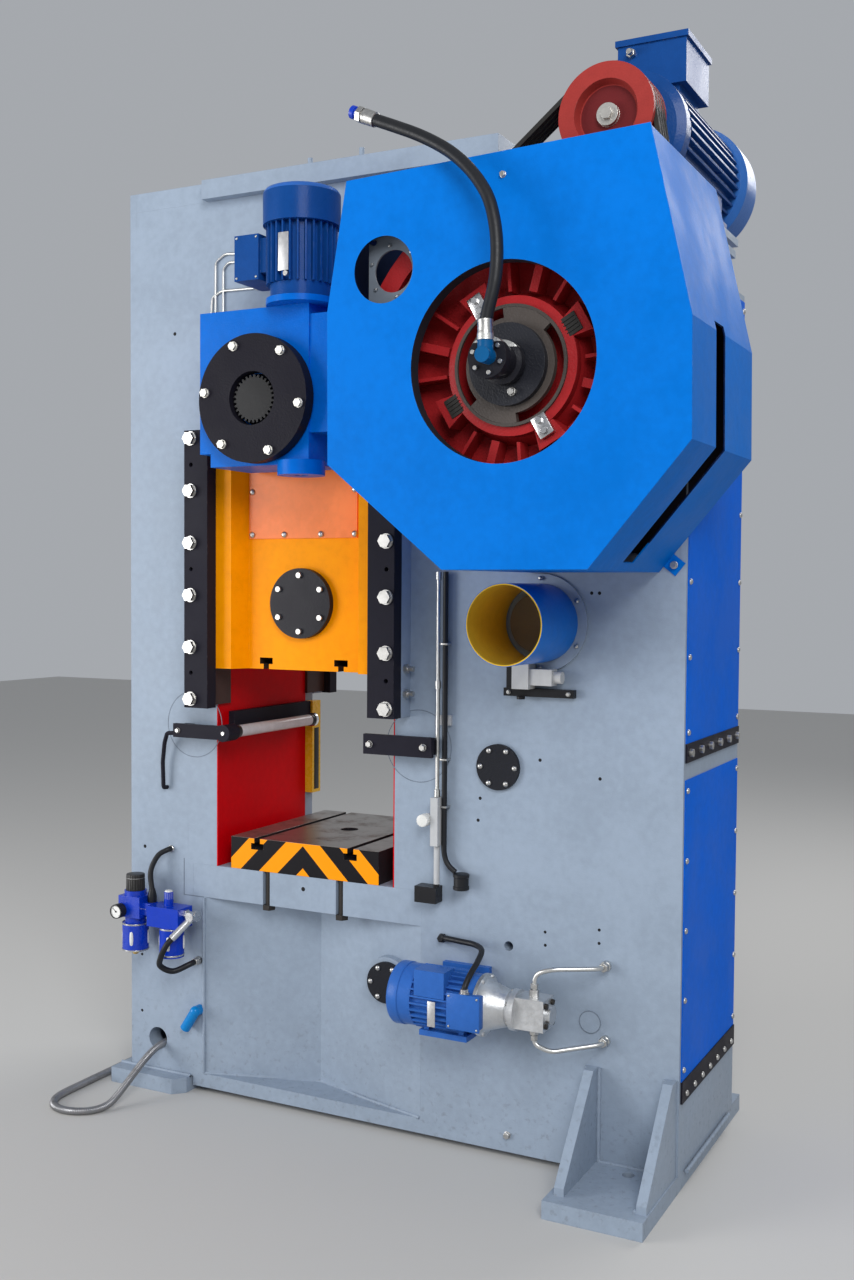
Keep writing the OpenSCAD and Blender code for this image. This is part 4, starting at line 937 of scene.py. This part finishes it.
HOSE_ROUTE = [
    (1595, -660, 2262), (1595, -660, 2284), (1601, -660, 2316), (1612, -659, 2358), (1619, -657, 2400),
    (1619, -652, 2460), (1610, -645, 2520), (1590, -635, 2580), (1560, -624, 2628), (1520, -612, 2674),
    (1475, -602, 2714), (1425, -592, 2748), (1370, -584, 2779), (1312, -580, 2806), (1260, -577, 2829),
    (1220, -575, 2847),
]
CONDUIT_ROUTE = [
    (132, 90, 139), (132, 45, 139), (132, 0, 139), (130, -45, 131), (128, -90, 112), (126, -135, 86),
    (124, -178, 60), (122, -215, 38), (118, -250, 20), (108, -284, 13), (86, -318, 12), (50, -341, 12),
    (8, -348, 12), (-34, -336, 12), (-64, -308, 12), (-81, -270, 12), (-86, -222, 12), (-86, -170, 12),
    (-86, -120, 12), (-86, -50, 12), (-86, 90, 12), (-86, 230, 12), (-86, 370, 12), (-86, 510, 12),
    (-86, 650, 12), (-86, 790, 12), (-86, 850, 12),
]
COIL_CENTRE = (49, 880)
COIL_RADIUS = 135
COIL_DEGREES, COIL_STEPS = 450, 27
CLIMB_FROM, CLIMB_OVER = 225, 90
CONDUIT_END = [(66, 1015, 36), (90, 1015, 36)]


def coil_route(diameter):
    """A turn and a quarter on the floor and on itself, up to the plug."""
    points = []
    for step in range(COIL_STEPS + 1):
        degrees = step * COIL_DEGREES / COIL_STEPS
        angle = math.radians(degrees)
        climb = min(1.0, max(0.0, (degrees - CLIMB_FROM) / CLIMB_OVER))
        lift = diameter * (3 * climb**2 - 2 * climb**3)
        points.append((
            COIL_CENTRE[0] - COIL_RADIUS * math.cos(angle),
            COIL_CENTRE[1] + COIL_RADIUS * math.sin(angle),
            diameter / 2 + lift,
        ))
    return points


HOSE_CRIMP = [
    (15.6, -34), (18.6, -33), (19.2, -28), (18.2, -24), (19.2, -20), (18.2, -16), (19.2, -12), (18.2, -8),
    (19.4, -4), (19.4, 2), (13, 3), (13, 8),
]
HOSE_PLUG = [(0, 23), (11, 23), (13, 24), (13, 30), (16, 31), (16.5, 33), (16.5, 43), (15, 44), (0, 44)]


class PRESS_OT_air_hose(bpy.types.Operator):
    """Adds the air hose of the clutch, with its crimped ends"""

    bl_idname = "press.air_hose"
    bl_label = "Air Hose"

    def execute(self, context):
        cords = settings().cords
        line = smooth_line([at(*p) for p in HOSE_ROUTE], 0.006)
        bm = bmesh.new()
        tube(bm, line, cords.hose_diameter / 2, 20)
        hose = keep(bm, "air_hose_rubber", "hose_rubber")
        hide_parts("air_hose")
        bm = bmesh.new()
        into = (line[0] - line[1]).normalized()
        out = (line[-1] - line[-2]).normalized()
        turned(bm, HOSE_CRIMP, line[-1], out, 32)
        hexagon(bm, line[-1] + out * 7 * MM, out, 36, 17)
        turned(bm, HOSE_PLUG, line[-1], out, 32, material=1)
        turned(bm, HOSE_CRIMP, line[0], into, 32)
        ends = keep(bm, "hose_fittings", ["zinc", "service_plastic"])
        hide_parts("hose_end")
        return {"FINISHED"}


class PRESS_OT_conduit(bpy.types.Operator):
    """Adds the ribbed conduit from the cable hole to its coil and plug"""

    bl_idname = "press.conduit"
    bl_label = "Cable Conduit"

    def execute(self, context):
        cords = settings().cords
        diameter = cords.conduit_diameter
        step = cords.rib_pitch / 4
        route = CONDUIT_ROUTE + coil_route(diameter / MM) + CONDUIT_END
        line = smooth_line([at(*p) for p in route], step)
        bm = bmesh.new()
        tube(bm, line, ribbed(line, diameter / 2, cords.rib_depth, cords.rib_pitch, step), 12)
        conduit = keep(bm, "conduit_ribbed", "conduit_steel", angle=70.0)
        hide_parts("conduit", "conduit_coil")
        low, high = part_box("conduit_plug")
        bm = bmesh.new()
        block(bm, low + mm(16, 0, 0), high, 4 * MM)
        collar = Vector((low.x, high.y, high.z)) + mm(38, 1.5, 0)
        block(bm, low + mm(30, -1.5, 0), collar, 1 * MM, 1)
        sleeve = [(14, -20), (14.5, -12), (16, -10), (16, 6), (14, 8), (14, 20)]
        turned(bm, sleeve, line[-1], RIGHT, 24, 1)
        plug = keep(bm, "conduit_connector", ["black_plastic", "zinc"])
        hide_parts("conduit_plug")
        return {"FINISHED"}


TUBE_ROUTES = [
    ([(523, -4, 2706), (384, -4, 2719), (347, -4, 2695), (347, -4, 2425), (375, -44, 2425),
      (463, -44, 2425)], 4, 14),
    ([(523, -4, 2683), (396, -4, 2691), (377, -4, 2671), (377, -4, 2455), (405, -44, 2455),
      (463, -44, 2455)], 4, 12),
    ([(523, -4, 2600), (370, -4, 2603), (334, -4, 2585), (320, -4, 2395), (348, -44, 2395),
      (463, -44, 2395)], 4, 10),
    ([(1160, -25, 1048), (1160, -25, 1380), (1160, -25, 1710)], 6, 5),
    ([(1510, -110, 528), (1510, -110, 590), (1560, -110, 610), (1681, -40, 610), (1681, 0, 610)], 7, 24),
    ([(1510, -110, 440), (1510, -110, 392), (1560, -110, 378), (1684, -40, 398), (1684, 0, 398)], 7, 20),
]
LONG_HOSE = [(1181, -20, 1712), (1181, -20, 880), (1192, -20, 850), (1219, -20, 830)]
UPPER_HOSE = [(136, -62, 664), (124, -54, 726), (138, -34, 776), (166, -16, 796), (166, 0, 796)]
LOWER_HOSE = [
    (264, -126, 536), (252, -139, 514), (228, -134, 474), (208, -112, 438), (234, -80, 416), (272, -44, 434),
    (279, -26, 439),
]
MOTOR_CABLE = [
    (1170, -2, 625), (1190, -14, 628), (1240, -24, 628), (1290, -34, 627), (1326, -64, 622),
    (1339, -120, 604), (1339, -165, 582), (1336, -192, 556), (1334, -198, 540),
]
HOSE_COUPLING = [
    (0, 0), (22, 0), (24, 2), (24, 10), (22, 12), (22, 36), (24, 38), (24, 46), (20, 48), (0, 48),
]


class PRESS_OT_lines(bpy.types.Operator):
    """Adds the steel tubes and the rubber hoses on the face"""

    bl_idname = "press.lines"
    bl_label = "Tubes and Hoses"

    def execute(self, context):
        bm = bmesh.new()
        for points, radius, ease in TUBE_ROUTES:
            tube(bm, eased(points, ease), radius * MM, 16)
        for z in PUMP_TUBES_Z:
            turned(bm, stud(15, 14, 2), at(1682, 0, z), FRONT, 24)
        for z in (1060, 1380, 1700):
            turned(bm, [(6, -12), (9, -11), (9, 11), (6, 12)], at(1160, -25, z), UP, 20)
        tubes = keep(bm, "service_tubes", "tube_steel")
        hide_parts("steel_tubes")

        bm = bmesh.new()
        tube(bm, eased(LONG_HOSE, 16), 8 * MM)
        tube(bm, round_line(UPPER_HOSE), 8.8 * MM)
        tube(bm, round_line(LOWER_HOSE), 9.6 * MM)
        turned(bm, HOSE_COUPLING, at(1240, -24, 781), UP, 28)
        turned(bm, [(0, 0), (15, 0), (15, 20), (12, 34), (9.5, 44)], at(136, -62, 628), UP, 24)
        hoses = keep(bm, "rubber_hoses", "hose_rubber")
        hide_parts("black_hoses")

        bm = bmesh.new()
        gland = [(0, 28), (9, 28), (11.5, 26), (11.5, 12), (13.5, 11), (13.5, 0), (0, 0)]
        turned(bm, gland, at(279, 0, 439), FRONT, 24)
        hexagon(bm, at(279, -10, 439), FRONT, 24, 9)
        for z in (2395, 2425, 2455):
            turned(bm, stud(8, 12, 2), at(461, -44, z), LEFT, 6)
        turned(bm, stud(12, 5, 2), at(166, 0, 796), FRONT, 24)
        for z in (1500, 1160, 1020):
            box_mm(bm, (1170, -30, z - 3), (1192, 0, z + 3), 1)
        keep(bm, "line_fittings", "zinc")
        return {"FINISHED"}


PANEL_INSET = 0.016
PANEL_MARGIN = 0.03
STRIP_MARGIN = 0.04
STRIP_SCREWS = 7
COVER_RINGS = [
    ((980, -10, 464), 50, 0, 8.5), ((1347, -12, 1147), 54, 0, 8.5), ((CRANK_X, -13, CRANK_Z), 127, 30, 6.5),
    ((PORTS_X, -512, PORTS_Z), 66, -20, 5.6),
]
COVER_BOLTS = [
    (1592, -560, 2659, 13), (1863, -11, 1731, 17), (1384, 0, 70, 17), (1385, -22, 1368, 10),
    (1567, -22, 1368, 10), (240, -60, 1198, 13), (420, -60, 1198, 13), (950, -60, 1196, 17),
    (1130, -60, 1196, 17),
]
GUARD_SIDE = [(1898, 2715), (1954, 2720), (2058, 2286), (2060, 2008), (1898, 1815)]
GUARD_SILL = [(1500, 1765), (1838, 1765), (1892, 1830), (1892, 1985), (1500, 1985)]


class PRESS_OT_screws(bpy.types.Operator):
    """Adds the screws of the panels, covers and guards"""

    bl_idname = "press.screws"
    bl_label = "Screws"

    def execute(self, context):
        hardware = settings().hardware
        radius = hardware.screw_radius / MM
        low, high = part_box("side_panels")
        foot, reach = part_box("side_strips")
        strip = reach.z
        seam = strip - 0.1
        bm = bmesh.new()
        for start, end in ((low.z, seam), (strip, high.z)):
            steps = max(1, round((end - start - 2 * PANEL_MARGIN) / hardware.screw_pitch))
            rows = spread(start + PANEL_MARGIN, end - PANEL_MARGIN, steps)
            for y, z in product((low.y + PANEL_INSET, high.y - PANEL_INSET), rows):
                screw(bm, Vector((high.x, y, z)), RIGHT, radius)
        for y in spread(foot.y + STRIP_MARGIN, reach.y - STRIP_MARGIN, STRIP_SCREWS - 1):
            screw(bm, Vector((reach.x, y, foot.z + 0.02)), RIGHT, radius)
        keep(bm, "panel_screws", "zinc")

        bm = bmesh.new()
        for x, z in [*product((490, 610, 744, 864), (1827, 2086)), (490, 1962), (864, 1962)]:
            screw(bm, at(x, -5, z), FRONT, 10)
        for place in around((SLIDE_X, -18, 1613), 87, 6, 30):
            turned(bm, stud(9.4, 13, 0.8, 1), at(*place), FRONT, 18)
        keep(bm, "slide_screws", "zinc", body="slide")

        bm = bmesh.new()
        for centre, reach, first, head in COVER_RINGS:
            for place in around(centre, reach, 6, first):
                screw(bm, at(*place), FRONT, head)
        for *place, across in COVER_BOLTS:
            hex_bolt(bm, place, across)
        keep(bm, "cover_screws", "zinc")

        # Painted shade: black plates behind the guard's slot and along its sill, where the inside of the
        # guard lies in shade.
        bm = bmesh.new()
        plate(bm, GUARD_SIDE, -8, -5)
        plate(bm, GUARD_SILL, -6, -1)
        keep(bm, "guard_back", "black_enamel")
        return {"FINISHED"}


HOLES = [
    (182, 2483, 5), (57, 794, 5), (44, 428, 4), (44, 237, 4), (1625, 1653, 4), (1648, 1653, 4),
    (1288, 1051, 4), (1282, 986, 4), (1475, 1175, 4), (1496, 682, 3.5), (1497, 644, 3.5),
    (1659, 708, 3.5), (1659, 670, 3.5), (1656, 1134, 4), (680, 717, 6),
]
BEADS = [
    [(-38, -4, 50), (247, -4, 50)], [(1615, -4, 50), (1633, -4, 50)], [(1661, -4, 50), (1861, -4, 50)],
    [(1629, -4, 52), (1629, -4, 318)], [(1665, -4, 52), (1665, -4, 318)], [(1857, -4, 52), (1857, -4, 318)],
    [(1637, -258, 52), (1637, -6, 52)], [(1857, -258, 52), (1857, -6, 52)], [(299, -1, 70), (299, -1, 646)],
    [(302, 2, 67), (490, 60, 67), (677, 116, 67), (864, 60, 67), (1094, 2, 67)],
    [(1902, 60, 46), (1902, 520, 46)], [(1345, 60, 2562), (1345, 520, 2562)],
]


class PRESS_OT_face(bpy.types.Operator):
    """Adds tapped holes as near-black discs of painted shade, outlines and weld beads to the frame"""

    bl_idname = "press.face"
    bl_label = "Frame Details"

    def execute(self, context):
        bm = bmesh.new()
        # The tapped holes are thin near-black discs: painted shade where each hole is.
        for x, z, radius in HOLES:
            turned(bm, [(radius + 1, 0), (radius, 0.4), (0, 0.4)], at(x, 0, z), FRONT, 20)
        keep(bm, "tapped_holes", "hole_dark")
        bm = bmesh.new()
        for x, z, radius, width in ((1085, 1192, 108, 1.2), (262, 1215, 108, 1.2)):
            ring = [(radius - width, 0), (radius - width, 0.5), (radius + width, 0.5), (radius + width, 0)]
            turned(bm, ring, at(x, 0, z), FRONT, 72)
        turned(bm, [(30, 0), (30, 0.5), (32.4, 0.5), (32.4, 0)], at(1635, -2, 443), FRONT, 48)
        for low, high in (((217, -0.5, 650), (220, 0.1, 770)), ((217, -0.5, 648), (298, 0.1, 651))):
            box_mm(bm, low, high)
        keep(bm, "face_outlines", "seam_dark")
        bm = bmesh.new()
        dice = random.Random(5)
        radius = settings().hardware.weld_radius
        for bead in BEADS:
            line = round_line(bead, 7.0)
            radii = [radius * (0.86 + 0.28 * dice.random()) for _ in line]
            tube(bm, line, radii, 8)
        keep(bm, "weld_beads", "bead_enamel", angle=70.0)
        return {"FINISHED"}


CLAMP_ANGLES = (120, 300)
PAD_ANGLES = (30, 210)
CAP_PLUG = (WHEEL_X + 18, WHEEL_Z - 69)


class PRESS_OT_clutch(bpy.types.Operator):
    """Adds the clamps on the flywheel's pads and the bolts of the rotary union"""

    bl_idname = "press.clutch"
    bl_label = "Clutch Details"

    def execute(self, context):
        wheel = at(WHEEL_X, 0, WHEEL_Z)
        bm = bmesh.new()
        for angle in CLAMP_ANGLES:
            with shifted(bm, spun(wheel, -angle)):
                block(bm, mm(146, -507, -20), mm(203, -489, 20), 2 * MM)
                for r in (160, 189):
                    hexagon(bm, mm(r, -506.5, 0), FRONT, 17, 9)
        for angle in PAD_ANGLES:
            with shifted(bm, spun(wheel, -angle)):
                block(bm, mm(156, -494.5, -25), mm(200, -489, 25), 1 * MM, 1)
                for z in (-16, -6, 4, 14):
                    block(bm, mm(160, -497, z), mm(196, -494, z + 2.5), 0.5 * MM, 1)
        keep(bm, "wheel_clamps", ["valve_steel", "belt_rubber"], body="flywheel")
        bm = bmesh.new()
        for place in around((WHEEL_X, -640, WHEEL_Z), 38, 6, -20):
            turned(bm, stud(5.8, 6.5, 0.8, 1), at(*place), FRONT, 16)
        keep(bm, "union_screws", "zinc")
        bm = bmesh.new()
        x, z = CAP_PLUG
        hexagon(bm, at(x, -533.8, z), FRONT, 16, 8.8)
        turned(bm, stud(10.5, 9.4, 0.7, 0.8), at(x, -525, z), FRONT, 20)
        keep(bm, "cap_fitting", "zinc", body="clutch")
        return {"FINISHED"}


MOTOR_NUTS = [
    ((1758, -107, 3072), FRONT, 22, 14),
    ((1510, PUMP_Y, 528), UP, 24, 20), ((1510, PUMP_Y, 550), UP, 19, 14),
    ((1510, PUMP_Y, 440), DOWN, 24, 20), ((1510, PUMP_Y, 418), DOWN, 19, 14),
]
FAN_Y = 352
ADJUSTER_DOME = [(113, -3), (112, 4), (106, 12), (92, 17), (0, 20)]
PUMP_CAP = [(88, 0), (90.5, 2), (90.5, 30), (86, 36), (0, 38)]
PUMP_BELL = [(86, 0), (88, 1.5), (88, 12), (80, 15), (70, 22), (53, 76), (50, 84), (48, 84)]


class PRESS_OT_motors(bpy.types.Operator):
    """Adds grilles, glands, lid screws and blank plates to the motors and the pump"""

    bl_idname = "press.motors"
    bl_label = "Motor Details"

    def execute(self, context):
        bm = bmesh.new()
        for x, y in product((1728, 1898), (-100, 99)):
            screw(bm, at(x, y, 3110), UP, 6.5)
        for place, axis, across, height in MOTOR_NUTS:
            hexagon(bm, at(*place), axis, across, height)
        turned(bm, [(0, 26), (7, 26), (8, 24), (8, 12), (10, 0)], at(1758, -107, 3072), FRONT, 20)
        gland = [(0, 30), (16, 30), (18, 28), (18, 14), (22, 13), (22, 0), (0, 0)]
        turned(bm, gland, at(1720, -40, 3072), LEFT, 24)
        for x, z in product((604, 672), (2568, 2684)):
            screw(bm, at(x, -255, z), FRONT, 4)
        for dy, dz in circle(52, 6, 30):
            hexagon(bm, at(1448, PUMP_Y + dy, PUMP_Z + dz), LEFT, 9, 6)
        for z in PUMP_TUBES_Z:
            hexagon(bm, at(1682, -13, z), FRONT, 24, 16)
        for z in GEARBOX_TUBES_Z:
            hexagon(bm, at(521, -6, z), LEFT, 14, 18)
            turned(bm, stud(10, 14, 1, 2), at(535, -8, z), FRONT, 18)
        for x in (347, 377, 320):
            hexagon(bm, at(x, -6, 2494), DOWN, 13, 18)
        keep(bm, "motor_fittings", "zinc")

        bm = bmesh.new()
        fan = at(MOTOR_X, FAN_Y, MOTOR_Z)
        for radius in range(28, 150, 14):
            ring = [(radius - 2, 0), (radius - 2, 2.4), (radius + 2, 2.4), (radius + 2, 0)]
            turned(bm, ring, fan, REAR, 64)
        for i in range(8):
            with shifted(bm, spun(fan, 45 * i)):
                block(bm, mm(20, 0, -2), mm(146, 3, 2), 0.4 * MM)
        keep(bm, "fan_grille", "black_enamel")

        bm = bmesh.new()
        box_mm(bm, (1222, -203, 425), (1246, -200, 497), 0.4)
        box_mm(bm, (782, -306, 2563), (816, -303, 2671), 0.4)
        keep(bm, "blank_plates", "bare_label")

        bm = bmesh.new()
        tube(bm, round_line(MOTOR_CABLE, 5.0), 8.5 * MM)
        gland = [(0, 20), (8, 20), (12, 17), (12, 10), (14, 9), (14, 0), (0, 0)]
        turned(bm, gland, at(1170, 0, 625), FRONT, 6)
        keep(bm, "motor_cables", "hose_rubber")

        bm = bmesh.new()
        box_mm(bm, (1290, -208, 436), (1384, -176, 530), 3)
        box_mm(bm, (1286, -213, 432), (1388, -207, 534), 2)
        turned(bm, ADJUSTER_DOME, at(795, -200, 2798), UP, 64)
        turned(bm, PUMP_CAP, at(1121, PUMP_Y, PUMP_Z), LEFT, 48)
        keep(bm, "motor_housings", "pump_enamel")
        bm = bmesh.new()
        turned(bm, PUMP_BELL, at(1353, PUMP_Y, PUMP_Z), RIGHT, 56)
        for dy, dz in circle(81, 8, 22.5):
            hexagon(bm, at(1365, PUMP_Y + dy, PUMP_Z + dz), RIGHT, 10, 7)
        keep(bm, "pump_bell", "alloy")
        bm = bmesh.new()
        for y, z in product((-134, -86), (456, 512)):
            turned(bm, stud(8, 8, 1), at(1552, y, z), RIGHT, 18)
        keep(bm, "pump_screws", "dark_steel")
        bm = bmesh.new()
        for x, z in product((1294, 1380), (440, 526)):
            screw(bm, at(x, -213, z), FRONT, 3.5)
        gland = [(0, 14), (10, 14), (12, 12), (12, 4), (15, 3), (15, 0), (0, 0)]
        turned(bm, gland, at(1334, -196, 532), UP, 24)
        hexagon(bm, at(813, -308, 2552), FRONT, 15, 10)
        keep(bm, "housing_screws", "zinc")
        return {"FINISHED"}


GAUGE_PLACE = (44, -132, 600)
GAUGE_TICKS = 25
GAUGE_NEEDLE = -140
GAUGE_RIM = [(20.5, 0), (20.5, 4), (22.6, 4), (23.4, 2), (23.4, -24), (20, -24)]
WINDOW_HEIGHTS = (484, 490, 500, 510, 520, 530, 536)
WINDOW_RADII = (2, 6.2, 7.2, 7.4, 7.2, 6.2, 2)


class PRESS_OT_air_unit(bpy.types.Operator):
    """Adds the knobs, the gauge, the sight windows and the drain of the air unit"""

    bl_idname = "press.air_unit"
    bl_label = "Air Unit"

    def execute(self, context):
        bm = bmesh.new()
        fluted(bm, at(REGULATOR_X, UNIT_Y, 664.3), UP, 31, 1.6, 22, 40)
        turned(bm, [(0, 0), (29.5, 0), (29.5, 2), (0, 2)], at(REGULATOR_X, UNIT_Y, 703.5), UP, 40, 1)
        fluted(bm, at(REGULATOR_X, UNIT_Y, 705), UP, 30.5, 1.0, 22, 12)
        grip = ["black_plastic", "bare_label"]
        knob = keep(bm, "regulator_grip", grip, body="regulator_knob")
        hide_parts("regulator_knob")
        bm = bmesh.new()
        fluted(bm, at(1128, -30.4, 980), FRONT, 19, 1.4, 14, 31)
        knob = keep(bm, "valve_grip", "white_plastic", body="valve_knob")
        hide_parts("valve_knob")

        bm = bmesh.new()
        dial = at(*GAUGE_PLACE)
        turned(bm, GAUGE_RIM, dial, FRONT, 40)
        turned(bm, [(0, 0.8), (20.6, 0.8), (20.6, 0), (0, 0)], dial, FRONT, 40, 1)
        for i in range(GAUGE_TICKS):
            with shifted(bm, spun(dial, 45 - i * 11.25)):
                long = 2 if i % 4 else 3.5
                block(bm, mm(18.5 - long, -1.2, -0.3), mm(18.5, -0.4, 0.3), 0, 2)
        with shifted(bm, spun(dial, GAUGE_NEEDLE)):
            block(bm, mm(-4, -2.2, -0.6), mm(15, -1.4, 0.6), 0, 2)
        turned(bm, [(0, 3.2), (2.5, 3.2), (2.5, 0), (0, 0)], dial, FRONT, 16, 2)
        keep(bm, "air_gauge", ["black_plastic", "dial_white", "hole_dark"])

        bm = bmesh.new()
        for x, radius in ((REGULATOR_X, 43), (LUBRICATOR_X, 40)):
            for dx, dy in circle(radius - 4, 4, -70):
                line = [at(x + dx, UNIT_Y + dy, z) for z in WINDOW_HEIGHTS]
                tube(bm, line, [r * MM for r in WINDOW_RADII])
        sight = [(0, 0), (11, 0), (15, 3), (15, 24), (11, 30), (0, 32)]
        turned(bm, sight, at(210, UNIT_Y, 646), UP, 28)
        keep(bm, "sight_windows", "white_plastic")

        bm = bmesh.new()
        turned(bm, [(0, 0), (7, 0), (9.6, 2), (9.6, 15), (0, 15)], at(REGULATOR_X, UNIT_Y, 451), UP, 24)
        keep(bm, "bowl_drain", "yellow_plastic")

        bm = bmesh.new()
        for z, (x, r) in product((466, 552), ((REGULATOR_X, 43.5), (LUBRICATOR_X, 40.5))):
            turned(bm, [(r, 0), (r + 1, 1), (r + 1, 5), (r, 6)], at(x, UNIT_Y, z), UP, 48)
        hexagon(bm, at(118, UNIT_Y, 608), RIGHT, 36, 14)
        hexagon(bm, at(150, UNIT_Y, 593), LEFT, 34, 12)
        hexagon(bm, at(275, UNIT_Y, 604), RIGHT, 30, 12)
        outlet = at(310, UNIT_Y, 604)
        turned(bm, [(0, 0), (17, 0), (18, 3), (18, 14), (0, 14)], outlet, RIGHT, 24)
        turned(bm, [(14.6, 0), (14.6, 26), (0, 26)], outlet, FRONT, 24)
        keep(bm, "air_fittings", "valve_steel")
        return {"FINISHED"}


class PRESS_OT_lighting(bpy.types.Operator):
    """Adds the lamp's window and caps and the windows of the light curtain"""

    bl_idname = "press.lighting"
    bl_label = "Lamp and Light Curtain"

    def execute(self, context):
        bm = bmesh.new()
        tube(bm, [at(LAMP_X, y, LAMP_Z) for y in range(20, 461, 20)], 19.4 * MM, 28)
        keep(bm, "lamp_glass", "lamp_tube", body="lamp")
        bm = bmesh.new()
        cap = [(0, 0), (20.5, 0), (21, 1), (21, 22), (20.5, 24), (0, 24)]
        for y in (-5, 448):
            turned(bm, cap, at(LAMP_X, y, LAMP_Z), REAR, 32)
        keep(bm, "lamp_caps", "black_plastic", body="lamp")
        bm = bmesh.new()
        box_mm(bm, (383.5, 540, 940), (385, 570, 1160), 0.4)
        keep(bm, "curtain_window", "black_plastic")
        return {"FINISHED"}


class PRESS_OT_finishes(bpy.types.Operator):
    """Gives each CAD node its finish"""

    bl_idname = "press.finishes"
    bl_label = "Finishes"

    def execute(self, context):
        for name, nodes in NODE_FINISHES.items():
            for node in nodes.split():
                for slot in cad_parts[node].material_slots:
                    slot.material = finish(name)
        return {"FINISHED"}


FLOOR_COLOUR = (0.56, 0.55, 0.53, 1)
FLOOR_ROUGH = 0.75
SKY_COLOUR = (0.9, 0.94, 1.0, 1)
LIGHT_TARGET = (0, 0, 1.5)
LIGHTS = [
    ("key", (3.4, -5.2, 5.2), 3.2), ("fill", (-5.2, -4.4, 1.9), 3.6), ("rim", (1.5, 4.8, 5.4), 3.0),
]


class PRESS_OT_studio(bpy.types.Operator):
    """Adds the floor, the soft lights and the camera"""

    bl_idname = "press.studio"
    bl_label = "Studio"

    def execute(self, context):
        studio = settings().studio
        bm = bmesh.new()
        bmesh.ops.create_grid(bm, x_segments=1, y_segments=1, size=studio.floor_side / 2)
        mesh = bpy.data.meshes.new("floor")
        bm.to_mesh(mesh)
        bm.free()
        floor = bpy.data.objects.new("floor", mesh)
        context.scene.collection.objects.link(floor)
        material, tree, shader = new_material("floor_pale")
        wire(tree, shader, {"Base Color": FLOOR_COLOUR, "Roughness": FLOOR_ROUGH})
        mesh.materials.append(material)

        world = bpy.data.worlds.new("studio_sky")
        world.use_nodes = True
        sky = world.node_tree.nodes["Background"]
        wire(world.node_tree, sky, {"Color": SKY_COLOUR, "Strength": studio.sky})
        context.scene.world = world
        for name, place, side in LIGHTS:
            data = bpy.data.lights.new(name, "AREA")
            data.energy = getattr(studio, name)
            data.size = side
            lamp = bpy.data.objects.new(name, data)
            lamp.location = place
            away = Vector(LIGHT_TARGET) - Vector(place)
            lamp.rotation_euler = away.to_track_quat("-Z", "Y").to_euler()
            context.scene.collection.objects.link(lamp)
        add_camera(context.scene)
        context.scene.view_settings.view_transform = "Standard"
        return {"FINISHED"}


# The photograph's height and its lens's focal length in pixels, then the eye's place in the millimetres
# of at() and its angles in degrees

PHOTO_HEIGHT = 1280
PHOTO_FOCUS = 1347.7
EYE = (2926, -3561, 1669)
EYE_YAW = 27.02
EYE_DIP = 2.285
EYE_ROLL = 0.392


def add_camera(scene):
    """Camera where the photograph was taken, with the photograph's field of view."""
    data = bpy.data.cameras.new("camera")
    data.sensor_fit = "VERTICAL"
    data.lens = PHOTO_FOCUS / PHOTO_HEIGHT * data.sensor_height
    camera = bpy.data.objects.new("camera", data)
    yaw, dip, roll = (math.radians(a) for a in (EYE_YAW, EYE_DIP, EYE_ROLL))
    turn = Matrix.Rotation(yaw, 4, "Z") @ Matrix.Rotation(math.pi / 2 - dip, 4, "X")
    camera.matrix_world = Matrix.Translation(at(*EYE)) @ turn @ Matrix.Rotation(roll, 4, "Z")
    scene.collection.objects.link(camera)
    scene.camera = camera


class PressSettings(bpy.types.PropertyGroup):
    paint: PointerProperty(type=PressPaint)
    wear: PointerProperty(type=PressWear)
    cords: PointerProperty(type=PressCords)
    hardware: PointerProperty(type=PressHardware)
    studio: PointerProperty(type=PressStudio)


OPERATORS = [
    PRESS_OT_studio,
    PRESS_OT_air_hose,
    PRESS_OT_conduit,
    PRESS_OT_lines,
    PRESS_OT_screws,
    PRESS_OT_face,
    PRESS_OT_clutch,
    PRESS_OT_motors,
    PRESS_OT_air_unit,
    PRESS_OT_lighting,
    PRESS_OT_finishes,
]


class PRESS_PT_panel(bpy.types.Panel):
    bl_idname = "PRESS_PT_panel"
    bl_label = "Stamping Press"
    bl_space_type = "VIEW_3D"
    bl_region_type = "UI"
    bl_category = "Press"

    def draw(self, context):
        for group in ("paint", "wear", "cords", "hardware", "studio"):
            box = self.layout.box()
            values = getattr(context.scene.press, group)
            for key in values.__annotations__:
                box.prop(values, key)
        for operator in OPERATORS:
            self.layout.operator(operator.bl_idname)


GROUP_TYPES = [PressPaint, PressWear, PressCords, PressHardware, PressStudio, PressSettings]
CLASSES = GROUP_TYPES + OPERATORS + [PRESS_PT_panel]


def register():
    for cls in CLASSES:
        bpy.utils.register_class(cls)
    bpy.types.Scene.press = PointerProperty(type=PressSettings)


def unregister():
    del bpy.types.Scene.press
    for cls in reversed(CLASSES):
        bpy.utils.unregister_class(cls)


def build():
    register()
    for operator in OPERATORS:
        group, action = operator.bl_idname.split(".")
        getattr(getattr(bpy.ops, group), action)()


if __name__ == "__main__":
    build()
